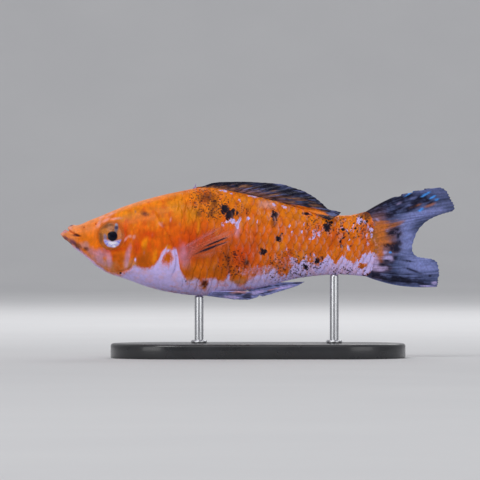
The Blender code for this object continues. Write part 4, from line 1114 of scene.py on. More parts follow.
def fin_group():
    """Opacity and fine relief that every fin shares, from its stored fields."""
    known = bpy.data.node_groups.get("fin_membrane")
    if known:
        return known
    graph, given, result = new_group(
        "fin_membrane",
        [
            ("Clearest", "NodeSocketFloat", 0.6), ("Ray cover", "NodeSocketFloat", 1.0),
            ("Joints", "NodeSocketFloat", 300.0),
        ],
        [("Color", "NodeSocketColor"), ("Alpha", "NodeSocketFloat"), ("Height", "NodeSocketFloat")],
    )
    ray = graph.field("ray").outputs["Fac"]
    cover = graph.math("MULTIPLY", ray, given.outputs["Ray cover"])
    cover = graph.math("MAXIMUM", cover, graph.field("cover").outputs["Fac"])
    mottle = graph.smooth(graph.noise(0.5, 4.0, 0.6), 0.3, 0.7, 0.78, 1.15)
    lit = graph.scaled(graph.field("tint").outputs["Color"], mottle)
    solid = graph.between(cover, given.outputs["Clearest"], 1.0)
    steps = graph.math("MULTIPLY", graph.field("along").outputs["Fac"], given.outputs["Joints"])
    steps = graph.math("MULTIPLY", graph.math("SINE", steps), ray)
    height = graph.math("MULTIPLY_ADD", steps, 0.5, graph.noise(0.2, 3.0))
    graph.wire(result, Color=lit, Alpha=solid, Height=height)
    return graph.tree


def fin_material(name, clearest, joints, ray_cover=1.0):
    """Thin wet membrane on bony rays."""
    material, graph, shader = new_material(
        name, Roughness=0.4, Specular_IOR_Level=0.13, Coat_Weight=0.05, Coat_Roughness=0.15
    )
    group = graph.add("ShaderNodeGroup", node_tree=fin_group())
    for label, value in (("Clearest", clearest), ("Ray cover", ray_cover), ("Joints", joints)):
        group.inputs[label].default_value = value
    graph.wire(
        shader, Base_Color=group.outputs["Color"], Alpha=group.outputs["Alpha"],
        Normal=graph.bump(group.outputs["Height"], 0.5, 0.05 * MM),
    )
    return material


def sheet_places(u, v, across, along):
    """Places for noise over a fin's sheet, so many lumps wide and long."""
    return np.stack([u * across, v * along, v * 0], axis=1)


def fin_sheet(name, blade, rays, steps, fins, paint, per_ray=8):
    """A fin as one closed sheet with branching rays.

    blade(u, v) gives its middle surface, and paint(points, u, v, ray, noise) its colours and cover.
    """
    columns = (rays - 1) * per_ray + 1
    piece, column, row = grid_piece(name, columns, steps + 1)
    u, v = column / (columns - 1), row / steps
    rank = u * (rays - 1)
    away = np.abs(rank - np.rint(rank))
    branch = BRANCH_SPREAD * smooth_step(v, 0.35, 0.85)
    ray = ridge(away, branch, RAY_WIDTH) * (1 - 0.35 * v)
    notch = fins.ragged * (1 - ridge(away, branch[row == steps][0], NOTCH_WIDTH))
    uneven = value_noise(sheet_places(u, v, 23, 0), 1.0, len(name))
    reach = 1 - notch * v - UNEVEN_EDGE * (uneven - 0.5) * v ** 3
    points = np.array([blade(a, b) for a, b in zip(u, v * reach)])
    points[:, 1] += MEMBRANE_RIPPLE * np.sin(rank * 2 * math.pi) * smooth_step(v, 0.0, 0.4)
    thick = fins.membrane + (fins.ray - fins.membrane) * ray * (1 - 0.45 * v)
    thick = thick + ROOT_THICKENING * (1 - smooth_step(v, 0.0, 0.2))
    place_points(piece.data, points)
    combed = layered_noise(sheet_places(rank, v, 1.8, 3.0), 1.0, len(name) * 1.3)
    lumps = 0.5 + 0.5 * (layered_noise(points, 0.8, len(name) * 1.7) - 0.5) + 0.95 * (combed - 0.5)
    tint, cover = paint(points, u, v, ray, lumps)
    write_fields(piece.data, {"tint": tint, "ray": ray, "cover": np.clip(cover, 0, 1), "along": v})
    group = piece.vertex_groups.new(name="thickness")
    share = thick / thick.max()
    for index, weight in enumerate(share):
        group.add([index], float(weight), "REPLACE")
    solid = piece.modifiers.new("Thickness", "SOLIDIFY")
    solid.thickness = float(thick.max()) * MM
    solid.offset = 0.0
    solid.vertex_group = "thickness"
    bpy.ops.object.modifier_apply(modifier="Thickness")
    piece.vertex_groups.clear()
    bpy.ops.object.shade_smooth()
    return piece


def tips_of(points):
    """The tip of the ray at each share u, as a function giving (x, z)."""
    xs, zs = curve([(u, x) for u, x, _ in points]), curve([(u, z) for u, _, z in points])
    return lambda u: (float(xs(u)), float(zs(u)))


def between(start, end, share):
    """The number at a share of the way from start to end."""
    return start + (end - start) * share


def dorsal_blade(u, v):
    """Dorsal fin laid back along the spine, its last rays draped over the left flank."""
    root_x = between(*DORSAL_ROOT, u)
    root_z = float(skin_top(root_x)) - 0.3
    tip_x, tip_z = dorsal_tips(u)
    x = between(root_x, tip_x, v)
    z = between(root_z, tip_z, v)
    laid = float(smooth_step(u, DORSAL_DRAPE_START, 1.0))
    y = -DORSAL_DRAPE * laid * v
    off = -0.25 + (0.35 + 0.5 * float(smooth_step(u, 0.04, 0.3))) * v ** 0.7 + 0.1 * laid * v
    y, z = clear_of_body(x, y, z, off)
    return x, y, z


def caudal_blade(u, v):
    """Tail fin, its rays spread from the edge of the fan and bent a little to the right."""
    angle = CAUDAL_ROOT_ANGLE * (1 - 2 * u)
    root_x = STALK_END + (FAN_DEPTH - 0.6) * math.cos(angle)
    root_z = FAN_CENTRE_Z + (FAN_HALF_HEIGHT - 0.15) * math.sin(angle)
    tip_x, tip_z = caudal_tips(u)
    upper_bow = UPPER_LOBE_BOW * (1 - float(smooth_step(u, 0.0, 0.25)))
    bow = upper_bow - LOWER_LOBE_BOW * float(smooth_step(u, 0.6, 1.0))
    x = between(root_x, tip_x, v)
    z = between(root_z, tip_z, v) + bow * math.sin(math.pi * v)
    jag = EDGE_JAG * (EDGE_JAGS * v % 1) * max(0.0, 1 - u / EDGE_JAG_WIDTH)
    z -= jag * float(smooth_step(v, 0.35, 0.5))
    y = CAUDAL_SWAY * (max(0.0, x - STALK_END) / (tip_x - STALK_END)) ** 2 * v
    return x, y, z


def anal_blade(u, v):
    """Anal fin, folded back under the belly."""
    root_x = between(*ANAL_ROOT, u)
    root_z = float(skin_low(root_x)) + 0.35
    tip_x, tip_z = anal_tips(u)
    x = between(root_x, tip_x, v)
    z = between(root_z, tip_z, v)
    _, z = clear_of_body(x, 0.0, z, -0.3 + 0.5 * v ** 0.6)
    return x, 0.0, z


def pectoral_blade(side):
    """Pectoral fin of one side, laid back and up along the flank and standing a little off it."""
    roots, tips = tips_of(PECTORAL_ROOT), tips_of(PECTORAL_TIPS)

    def blade(u, v):
        root_x, root_z = roots(u)
        tip_x, tip_z = tips(u)
        root_y = float(flank_at(root_x, root_z, -ROOT_SUNK))
        x = between(root_x, tip_x, v)
        z = between(root_z, tip_z, v)
        y = root_y + PECTORAL_SPREAD * v ** 1.1
        y, z = clear_of_body(x, y, z, PECTORAL_STAND_OFF * v ** 0.6 - ROOT_SUNK)
        return x, side * y, z

    return blade


def pelvic_blade(side):
    """Pelvic fin of one side, folded back along the belly."""
    roots, tips = tips_of(PELVIC_ROOT), tips_of(PELVIC_TIPS)

    def blade(u, v):
        root_x, root_z = roots(u)
        tip_x, tip_z = tips(u)
        x = between(root_x, tip_x, v)
        y = between(between(*PELVIC_ROOT_Y, u), between(*PELVIC_TIP_Y, u), v)
        z = between(root_z, tip_z, v)
        y, z = clear_of_body(x, y, z, PELVIC_STAND_OFF * v ** 0.6 - ROOT_SUNK)
        return x, side * y, z

    return blade


dorsal_tips = tips_of(DORSAL_TIPS)
caudal_tips = tips_of(CAUDAL_TIPS)
anal_tips = tips_of(ANAL_TIPS)


def mixed(base, *layers):
    """A colour per point: base with each (colour, share) laid over it in turn."""
    tint = np.atleast_2d(np.array(base, float))
    for colour, share in layers:
        share = np.clip(share, 0, 1)[:, None]
        tint = tint * (1 - share) + np.array(colour) * share
    return tint


def zone(points, marks):
    """A soft field of 0 to 1 over the marks."""
    return smooth_step(ellipse_field(points[:, 0], points[:, 2], marks), 0.2, 0.7)


def blots(points, marks, lumps, sharp=0.16):
    """How far each point lies in one of the marks, 0 to 1, with a ragged edge."""
    field = ellipse_field(points[:, 0], points[:, 2], marks) + 0.7 * (lumps - 0.5)
    return smooth_step(field, 0.5 - sharp, 0.5 + sharp)


class MOLLY_OT_skin(bpy.types.Operator):
    """Skin of head, trunk and tail stalk in one piece, with lips, orbits, nostrils and gill covers"""

    bl_idname = "molly.skin"
    bl_label = "Skin"

    def execute(self, context):
        surface = BodySurface(context.scene.molly_body)
        rows, columns = surface.points.shape[:2]
        piece, column, row = grid_piece("skin", columns, rows)
        points = surface.points[row, column]
        place_points(piece.data, points)
        write_fields(piece.data, pigments(points, context.scene.molly_colours))
        close_up(piece)
        material = body_material("skin_wet", context.scene.molly_colours, 0.35, scales=False)
        finish_piece(piece, material, "skin", "head", "torso", "tail_stalk", "lower_jaw")
        return {"FINISHED"}


class MOLLY_OT_scales(bpy.types.Operator):
    """Overlapping scales from the nape and gill covers to the tail fin"""

    bl_idname = "molly.scales"
    bl_label = "Scales"

    def execute(self, context):
        body = context.scene.molly_body
        surface = BodySurface(body)
        piece, column, row = grid_piece("scales", *SCALE_GRID)
        template = piece.data
        along = column / (SCALE_GRID[0] - 1)
        across = row / (SCALE_GRID[1] - 1) * 2 - 1
        faces = np.array([list(p.vertices) for p in template.polygons])
        border = self.border(column, row)
        roots = self.roots(surface, body)
        count, size = len(roots), len(along)
        length = SCALE_LENGTH - SCALE_LENGTH_LOST * smooth_step(roots[:, 0], 4.0, 22.0)
        reach = along * (1 - SCALE_ROUNDING * across ** 2)
        x = roots[:, :1] + (reach[None, :] - 0.5) * length[:, None]
        x = np.minimum(x, STALK_END + FAN_DEPTH - 0.4)
        half_height = SCALE_HALF_HEIGHT * 2 / body.scale_rows
        taper = 1 - SCALE_TAPER * (1 - along[None, :])
        ring = roots[:, 1:2] + across[None, :] * half_height * taper
        points, normals = surface.at(x, ring)
        raised = self.raised(points[:, SCALE_GRID[1] // 2, :])
        rise = (body.scale_lift + 0.035) * reach - SCALE_ROOT_SUNK - SCALE_CROWN * across ** 2
        lift = rise[None, :] - SCALE_HIDDEN_DEPTH * (1 - raised[:, None])
        shells = [points + normals * (lift - depth)[..., None] for depth in (0.0, SCALE_THICKNESS)]
        both = np.stack(shells, axis=1).reshape(-1, 3)
        quads = []
        for start in range(0, count * 2 * size, 2 * size):
            quads.append(faces + start)
            quads.append(faces[:, ::-1] + start + size)
            under = np.roll(border, -1)
            quads.append(np.stack([under, border, border + size, under + size], axis=1) + start)
        mesh = bpy.data.meshes.new("scales")
        mesh.from_pydata((both + (0, 0, AXIS_HEIGHT)) * MM, [], np.concatenate(quads).tolist())
        piece.data = mesh
        bpy.data.meshes.remove(template)
        fields = pigments(both, context.scene.molly_colours)
        twice, flat, middle = (np.tile(values, 2 * count) for values in (along, reach, across))
        fields["rim"] = smooth_step(twice, 0.8, 0.97) * (1 - smooth_step(np.abs(middle), 0.3, 0.7))
        fields["growth"] = np.hypot(flat, middle * 0.5)
        own_place = np.repeat(roots[:, [0, 1, 1]] * (1, 9, 5), 2 * size, axis=0)
        dim = 1 - 0.1 * value_noise(own_place, 0.9, 3.0)
        fields["tint"] = fields["tint"] * dim[:, None]
        write_fields(mesh, fields)
        self.unwrap(mesh, roots, twice, middle, 2 * size, surface)
        deselect()
        piece.select_set(True)
        context.view_layer.objects.active = piece
        bpy.ops.object.shade_smooth()
        material = body_material("scale_wet", context.scene.molly_colours, 0.3, scales=True)
        finish_piece(piece, material, "skin")
        return {"FINISHED"}

    @staticmethod
    def raised(places):
        """How far each scale stands out, 0 at the borders of the scaled skin and 1 well inside."""
        x, z = places[:, 0], places[:, 2]
        behind = smooth_step(x - gill_margin(z), 0.4, 2.2)
        above = smooth_step(z - nape_line(x), 0.0, 1.4) * smooth_step(x, -30.5, -25.0)
        before_tail = 1 - smooth_step(x, 22.0, 24.2)
        return np.maximum(behind, above) * before_tail * (0.5 + 0.5 * smooth_step(x, -18.0, -9.0))

    @staticmethod
    def border(column, row):
        """The template's rim vertices in order round it."""
        last_column, last_row = column.max(), row.max()
        index = {(c, r): i for i, (c, r) in enumerate(zip(column.tolist(), row.tolist()))}
        walk = [(c, 0) for c in range(last_column)]
        walk += [(last_column, r) for r in range(last_row)]
        walk += [(c, last_row) for c in range(last_column, 0, -1)]
        walk += [(0, r) for r in range(last_row, 0, -1)]
        return np.array([index[place] for place in walk])

    @staticmethod
    def roots(surface, body):
        """(x, ring share) of every scale, rows half a scale out of step with their neighbours."""
        places = []
        for row in range(body.scale_rows):
            ring = -1 + 2 * row / body.scale_rows
            x = SCALE_FRONT + (row % 2) * body.scale_spacing / 2
            while x < SCALE_REAR:
                point = surface.at(np.array([x]), np.array([ring]))[0][0]
                on_nape = x < -16 and point[2] > nape_line(x)
                behind_gill = x > gill_margin(point[2]) + 0.75
                if (on_nape and abs(ring) < 0.5) or behind_gill:
                    places.append((x, ring))
                x += body.scale_spacing
        return np.array(places)

    @staticmethod
    def unwrap(mesh, roots, along, across, per_scale, surface):
        """Each scale as a small patch at its root's place on an unwrap of the skin."""
        span = surface.stations[-1] - surface.stations[0]
        shares = [(roots[:, 0] - surface.stations[0]) / span, (roots[:, 1] + 1) / 2]
        place = UV_MARGIN + (1 - 2 * UV_MARGIN) * np.stack(shares, axis=1)
        spot = np.repeat(place, per_scale, axis=0)
        spot = spot + UV_SCALE_SIZE * np.stack([2 * along - 1, across], axis=1)
        layer = mesh.uv_layers.new(name="OFBake")
        corners = np.zeros(len(mesh.loops), np.int32)
        mesh.loops.foreach_get("vertex_index", corners)
        layer.data.foreach_set("uv", spot[corners].astype(np.float32).ravel())


class MOLLY_OT_eyes(bpy.types.Operator):
    """Both eyes, with iris, pupil and a bulging lens under a wet coat"""

    bl_idname = "molly.eyes"
    bl_label = "Eyes"

    def execute(self, context):
        material = self.material()
        for name, side in (("eye_left", -1), ("eye_right", 1)):
            deselect()
            bpy.ops.mesh.primitive_uv_sphere_add(segments=128, ring_count=64, radius=1.0)
            piece = context.object
            piece.name = piece.data.name = name + "_ball"
            unit = corners_of(piece).astype(float)
            points = self.shape(unit)
            fields = self.paint(points, unit)
            points[:, 1] *= -side
            place_points(piece.data, points)
            write_fields(piece.data, fields)
            close_up(piece, 1e-7)
            finish_piece(piece, material, "eye", name)
        return {"FINISHED"}

    @staticmethod
    def shape(unit):
        """The left eye: a flattened ball, its pole turned outwards, with the lens standing proud."""
        x, z = EYE_CENTRE
        step = 0.4
        along = float(flank_at(x + step, z) - flank_at(x - step, z)) / (2 * step)
        upward = float(flank_at(x, z + step) - flank_at(x, z - step)) / (2 * step)
        facing = Vector((-along, -1.0, -upward)).normalized()
        centre = Vector((x, -float(flank_at(x, z)), z)) + facing * (EYE_PROUD - EYE_HALF_DEPTH)
        away = np.hypot(unit[:, 0], unit[:, 1])
        front = unit[:, 2] > 0
        bulge = np.where(front, LENS_BULGE * ridge(away, 0.0, LENS_WIDTH), 0.0)
        dip = np.where(front, IRIS_DIP * ridge(away, IRIS_DIP_RADIUS, IRIS_DIP_WIDTH), 0.0)
        flat = unit * (EYE_RADIUS, EYE_RADIUS, EYE_HALF_DEPTH)
        flat[:, 2] += (bulge - dip) * EYE_HALF_DEPTH
        turn = np.array(Vector((0, 0, 1)).rotation_difference(facing).to_matrix())
        return flat @ turn.T + np.array(centre)

    @staticmethod
    def paint(points, unit):
        """Iris and pupil by their places in the side view, measured from the eye's centre, with a painted
        reflection above the pupil and painted highlights on the silver crescent.
        """
        x, z = points[:, 0] - EYE_CENTRE[0], points[:, 2] - EYE_CENTRE[1]
        lumps = layered_noise(points, 0.5, 2.0)
        orbit = np.hypot(x, z)
        iris_x, iris_z = x - IRIS_CENTRE[0], z - IRIS_CENTRE[1]
        iris = np.hypot(iris_x, iris_z)
        pupil = np.hypot(x - PUPIL_CENTRE[0], z - PUPIL_CENTRE[1]) + 0.12 * (lumps - 0.5)
        fibres = value_noise(sheet_places(np.arctan2(iris_z, iris_x), iris, 7, 1.2), 1.0, 5.0)

        def mark(*ellipses, soft=0.2):
            field = ellipse_field(x, z, ellipses) + 0.3 * (lumps - 0.5)
            return smooth_step(field, 0.5 - soft, 0.5 + soft)

        tint = mixed(
            srgb(188, 104, 38),
            (srgb(112, 68, 38), smooth_step(lumps, 0.45, 0.75) * 0.6),
            (srgb(206, 130, 56), mark((-1.3, 0.7, 0.8, 0.8, 0)) * 0.6),
            (srgb(112, 72, 42), mark((-0.6, 2.1, 1.6, 0.45, 20), (-2.1, -0.6, 0.35, 1.2, 0)) * 0.7),
            (srgb(218, 128, 76), mark((1.65, 0.1, 0.4, 1.3, 0)) * 0.9),
            (srgb(198, 88, 26), smooth_step(orbit, 2.05, 2.45) * smooth_step(x, -0.6, 1.4)),
            (srgb(196, 98, 30), smooth_step(orbit, 2.3, 2.75) * 0.7),
            (srgb(122, 112, 148), mark((-1.2, -0.45, 0.3, 0.8, 10)) * 0.8),
        )
        lower = smooth_step(-(z + 1.16 - 0.2 * np.abs(x - 0.35)), -0.26, 0.26)
        silver = (1 - smooth_step(iris + 0.3 * (lumps - 0.5), *IRIS_EDGE)) * lower
        tint = mixed(
            tint,
            (srgb(196, 190, 240), silver),
            (srgb(118, 118, 232), silver * smooth_step(fibres, 0.45, 0.75) * smooth_step(iris, 0.9, 1.4)),
            # Painted highlights on the silver crescent below the pupil.
            (srgb(244, 240, 255),
             mark((0.24, -1.52, 0.85, 0.3, 0), (0.55, -2.15, 0.36, 0.24, 0)) * 0.95),
            # Painted reflection of the light on the eye above the pupil: a grey bar, dark in its middle,
            # with a painted highlight at its top.
            (srgb(112, 106, 118), mark((1.0, 1.35, 0.38, 1.15, -6), soft=0.1) * 0.85),
            (srgb(62, 48, 84), mark((1.02, 1.6, 0.34, 0.36, 0)) * 0.9),
            (srgb(150, 152, 172), mark((1.0, 2.2, 0.3, 0.24, 0)) * 0.85),
            (srgb(4, 3, 24), 1 - smooth_step(pupil, *PUPIL_EDGE)),
        )
        back = smooth_step(-unit[:, 2], 0.0, 0.2)
        return {"tint": mixed(tint, (srgb(20, 14, 20), back))}

    @staticmethod
    def material():
        """A shining eye under a clear wet coat."""
        material, graph, shader = new_material(
            "eye_wet", Roughness=0.25, Coat_Weight=0.16, Coat_Roughness=0.03, Specular_IOR_Level=0.12
        )
        fleck = graph.smooth(graph.noise(0.18, 3.0, 0.6), 0.3, 0.7, 0.85, 1.12)
        graph.wire(shader, Base_Color=graph.scaled(graph.field("tint").outputs["Color"], fleck))
        return material


class MOLLY_OT_dorsal_fin(bpy.types.Operator):
    """Dorsal fin, laid back, navy with pale rays and an orange strip"""

    bl_idname = "molly.dorsal_fin"
    bl_label = "Dorsal fin"

    def execute(self, context):
        colours = context.scene.molly_colours

        def paint(points, u, v, ray, lumps):
            fine = layered_noise(sheet_places(u, v, 60, 4), 1.0, 5.0)
            pale = zone(points, DORSAL_PALE) * smooth_step(fine, 0.5, 0.62)
            tan = zone(points, DORSAL_TAN) * (1 - smooth_step(fine, 0.4, 0.5))
            orange = blots(points, DORSAL_ORANGE, lumps)
            # Painted shadow along the draped edge, laid on as navy.
            dark = blots(points, DORSAL_PAINTED_SHADOW, lumps)
            hook = 1 - smooth_step(u, 0.028, 0.042)
            foot = (1 - smooth_step(v, 0.1, 0.5)) * smooth_step(fine, 0.42, 0.58)
            foot = foot * smooth_step(u, 0.06, 0.2)
            tint = mixed(
                colours.navy,
                (colours.slate, 0.35 * smooth_step(lumps, 0.5, 0.8)),
                (colours.mist, 0.5 * pale), (colours.tan, 0.48 * tan), (colours.umber, 0.6 * foot),
                (colours.gold, 0.95 * orange),
                (colours.navy, dark), (colours.lavender, 0.6 * hook),
            )
            return tint, 0.35 + 0.65 * np.maximum.reduce([pale, orange, tan, hook]) + 0.3 * lumps

        piece = fin_sheet(
            "dorsal_sail", dorsal_blade, 15, 44, context.scene.molly_fins, paint, per_ray=12
        )
        finish_piece(piece, fin_material("dorsal_membrane", 0.82, 260.0), "fin_dark", "dorsal_fin")
        return {"FINISHED"}


class MOLLY_OT_caudal_fin(bpy.types.Operator):
    """Lyre tail, slate with navy, orange and blue marks"""

    bl_idname = "molly.caudal_fin"
    bl_label = "Tail fin"

    def execute(self, context):
        colours = context.scene.molly_colours

        def paint(points, u, v, ray, lumps):
            speck = layered_noise(points, 0.5, 7.0)
            dark = blots(points, CAUDAL_DARK, lumps, 0.3)
            dark = dark * (0.5 + 0.5 * smooth_step(speck, 0.3, 0.52))
            orange = blots(points, CAUDAL_ORANGE, lumps, 0.28)
            pale = blots(points, CAUDAL_PALE, lumps, 0.25)
            mist = blots(points, CAUDAL_MIST, lumps, 0.35)
            # Painted glints of blue sheen.
            blue = blots(points, CAUDAL_BLUE_GLINTS, lumps, 0.12)
            base = blots(points, CAUDAL_BASE, lumps, 0.45)
            near = smooth_step(-points[:, 0], -29.0, -25.0)
            glow = mixed(colours.umber, (colours.gold, 0.6 * near))
            dusk = zone(points, CAUDAL_DUSK) * smooth_step(lumps, 0.34, 0.6)
            far = 0.25 * smooth_step(points[:, 0], 31.0, 38.0) * (points[:, 2] > 3)
            combed = value_noise(sheet_places(u, v, 60, 3), 1.0, 11.0)
            tint = mixed(
                colours.slate,
                (colours.mist, 0.35 * smooth_step(combed, 0.4, 0.8)),
                (colours.navy, 0.35 * smooth_step(combed, 0.5, 0.1) + far),
                (colours.mist, 0.85 * mist), (colours.mist, 0.25 * ray),
                (colours.umber, 0.8 * base),
                (colours.navy, 0.8 * dusk), (colours.lavender, 0.5 * pale),
                (glow, 0.72 * orange), (colours.navy, 0.95 * dark), (colours.blue, 0.9 * blue),
            )
            cover = np.maximum.reduce([dark, orange, pale, blue, base, dusk])
            return tint, 0.25 + cover * 0.75 + 0.5 * (1 - smooth_step(v, 0.0, 0.25))

        piece = fin_sheet("lyre_tail", caudal_blade, 21, 72, context.scene.molly_fins, paint)
        finish_piece(
            piece, fin_material("caudal_membrane", 0.78, 340.0), "fin_dark",
            "caudal_fin_upper", "caudal_fin_lower",
        )
        return {"FINISHED"}


class MOLLY_OT_belly_fins(bpy.types.Operator):
    """Anal fin and both pelvic fins, folded along the belly"""

    bl_idname = "molly.belly_fins"
    bl_label = "Anal and pelvic fins"

    def execute(self, context):
        colours = context.scene.molly_colours

        def paint(points, u, v, ray, lumps):
            dark = blots(points, BELLY_FIN_DARK, lumps)
            pale = blots(points, BELLY_FIN_PALE, lumps)
            tan = blots(points, BELLY_FIN_TAN, lumps)
            tint = mixed(
                colours.mist,
                (colours.slate, 0.6 * smooth_step(lumps, 0.45, 0.7)),
                (colours.lavender, 0.5 * ray), (colours.lavender, 0.8 * pale),
                (colours.peach, 0.7 * tan),
                (colours.navy, 0.75 * dark),
            )
            return tint, 0.35 + 0.6 * np.maximum(dark, pale) + 0.3 * lumps

        material = fin_material("belly_fin_membrane", 0.75, 220.0)
        fins = context.scene.molly_fins
        piece = fin_sheet("anal_blade", anal_blade, 9, 36, fins, paint)
        finish_piece(piece, material, "fin_pale", "anal_fin")
        for name, side in (("left", -1), ("right", 1)):
            piece = fin_sheet(f"pelvic_blade_{name}", pelvic_blade(side), 7, 36, fins, paint)
            finish_piece(piece, material, "fin_pale", f"pelvic_fin_{name}")
        return {"FINISHED"}


class MOLLY_OT_pectoral_fins(bpy.types.Operator):
    """Both pectoral fins, coral and see-through, with dark streaks"""

    bl_idname = "molly.pectoral_fins"
    bl_label = "Pectoral fins"

    def execute(self, context):
        colours = context.scene.molly_colours

        def paint(points, u, v, ray, lumps):
            dark = blots(points, PECTORAL_DARK, 0.5 + 0.4 * (lumps - 0.5), 0.22)
            base = 1 - smooth_step(v, 0.05, 0.4)
            streaks = smooth_step(value_noise(sheet_places(u, v, 26, 2), 1.0, 3.0), 0.45, 0.8)
            edge = smooth_step(u, 0.0, 0.1) * (1 - smooth_step(u, 0.75, 1.0))
            edge = edge * (1 - smooth_step(v, 0.72, 1.0))
            rim = ridge(u, 0.1, 0.05) * (1 - smooth_step(v, 0.6, 0.95))
            tint = mixed(
                colours.coral,
                (colours.peach, 0.5 * streaks * smooth_step(v, 0.3, 0.8)),
                (colours.mauve, 0.35 * base), (colours.mauve, 0.4 * rim), (colours.navy, dark),
            )
            thin = (0.14 + 0.26 * streaks) * edge + 0.3 * base + 0.16 * rim
            return tint, np.maximum(dark, thin * smooth_step(v, 0.04, 0.22))

        material = fin_material("pectoral_membrane", 0.02, 240.0, 0.12)
        for name, side in (("left", -1), ("right", 1)):
            piece = fin_sheet(
                f"pectoral_blade_{name}", pectoral_blade(side), 13, 44, context.scene.molly_fins, paint
            )
            finish_piece(piece, material, "fin_red", f"pectoral_fin_{name}")
        return {"FINISHED"}


class MOLLY_OT_stand(bpy.types.Operator):
    """Plate with round ends and two steel rods with soft tips"""

    bl_idname = "molly.stand"
    bl_label = "Stand"

    def execute(self, context):
        self.base()
        for name in ("stand_rod_front", "stand_rod_rear"):
            self.rod(name)
        return {"FINISHED"}

    def base(self):
        """A slab whose corners are rounded to half circles and whose edges are eased."""
        low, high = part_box("stand_base")
        deselect()
        bpy.ops.mesh.primitive_cube_add(size=1.0, location=(low + high) / 2, scale=high - low)
        piece = bpy.context.object
        piece.name = piece.data.name = "base_plate"
        bpy.ops.object.transform_apply(location=True, rotation=True, scale=True)
        round_end = (high.y - low.y) / 2 - 1e-6
        self.bevel_edges(piece, lambda a, b: abs(a.z - b.z) > MM, round_end, 32)
        self.bevel_edges(piece, lambda a, b: min(a.z, b.z) > high.z - 1e-5, BASE_TOP_EDGE * MM, 4)
        self.bevel_edges(piece, lambda a, b: max(a.z, b.z) < low.z + 1e-5, BASE_FOOT_EDGE * MM, 2)
        bpy.ops.object.shade_smooth_by_angle(angle=math.radians(40))
        finish_piece(piece, self.acrylic(), "stand_base", "stand_base")

    def rod(self, node):
        """A steel rod from the plate to the skin, with a collar at its foot and a soft tip."""
        low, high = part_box(node)
        middle = (low + high) / 2
        reach = high.z + (SOLIDS_GAP + ROD_TOP_SUNK) * MM
        foot = BASE_TOP * MM
        deselect()
        bpy.ops.mesh.primitive_cylinder_add(
            vertices=48, radius=ROD_RADIUS * MM, depth=reach - foot,
            location=(middle.x, middle.y, (reach + foot) / 2),
        )
        piece = bpy.context.object
        piece.name = piece.data.name = node.replace("stand_", "steel_")
        bpy.ops.object.transform_apply(location=True, rotation=True, scale=True)
        self.bevel_edges(piece, lambda a, b: min(a.z, b.z) > reach - 1e-6, ROD_TIP_EDGE * MM, 4)
        bpy.ops.object.shade_smooth_by_angle(angle=math.radians(50))
        finish_piece(piece, self.steel(), "stand_rod", node)
        self.collar(node, middle, foot)

    def collar(self, node, middle, foot):
        """A turned ring round the foot of a rod."""
        deselect()
        bpy.ops.mesh.primitive_torus_add(
            location=(middle.x, middle.y, foot + COLLAR_LEVEL * MM),
            major_radius=(ROD_RADIUS + COLLAR_GROWTH) * MM, minor_radius=COLLAR_THICKNESS * MM,
            major_segments=48, minor_segments=16,
        )
        piece = bpy.context.object
        piece.name = piece.data.name = node.replace("stand_", "collar_")
        bpy.ops.object.transform_apply(location=True, rotation=True, scale=True)
        bpy.ops.object.shade_smooth()
        finish_piece(piece, self.steel(), "stand_rod")

    @staticmethod
    def bevel_edges(piece, wanted, width, segments):
        """Bevels the edges whose two ends pass a test."""
        bpy.ops.object.mode_set(mode="EDIT")
        bpy.ops.mesh.select_mode(type="EDGE")
        bpy.ops.mesh.select_all(action="DESELECT")
        bpy.ops.object.mode_set(mode="OBJECT")
        points = [v.co.copy() for v in piece.data.vertices]
        for edge in piece.data.edges:
            edge.select = wanted(points[edge.vertices[0]], points[edge.vertices[1]])
        bpy.ops.object.mode_set(mode="EDIT")
        bpy.ops.mesh.bevel(offset=width, segments=segments, affect="EDGES", clamp_overlap=False)
        bpy.ops.object.mode_set(mode="OBJECT")

    @staticmethod
    def acrylic():
        """Satin black plate with a faint grain and dust."""
        material, graph, shader = new_material("satin_black", Coat_Weight=0.3, Coat_Roughness=0.08)
        dust = graph.smooth(graph.noise(0.35, 6.0, 0.7), 0.62, 0.78, 0.0, 0.25)
        cloud = graph.smooth(graph.noise(9.0, 3.0), 0.3, 0.7, 0.0, 1.0)
        colour = graph.mix(cloud, srgb(30, 31, 34), srgb(40, 41, 45))
        graph.wire(
            shader, Base_Color=graph.mix(dust, colour, srgb(120, 120, 122)),
            Roughness=graph.smooth(graph.noise(4.0, 4.0), 0.3, 0.7, 0.24, 0.4),
            Normal=graph.bump(graph.noise(0.2), 0.15, 0.05 * MM),
        )
        return material

    @staticmethod
    def steel():
        """Brushed steel, its fine lines running round the rod."""
        known = bpy.data.materials.get("brushed_rod")
        if known:
            return known
        material, graph, shader = new_material("brushed_rod", Metallic=1.0)
        stretched = graph.add("ShaderNodeMapping", {"Scale": (0.1, 0.1, 1.0)}, {"Vector": graph.place()})
        lines = graph.add(
            "ShaderNodeTexNoise", {"Scale": 9000.0, "Detail": 3.0}, {"Vector": stretched.outputs[0]}
        ).outputs["Fac"]
        colour = graph.mix(lines, srgb(190, 191, 194), srgb(206, 207, 210))
        graph.wire(shader, Base_Color=colour, Roughness=graph.smooth(lines, 0.3, 0.7, 0.26, 0.34))
        return material


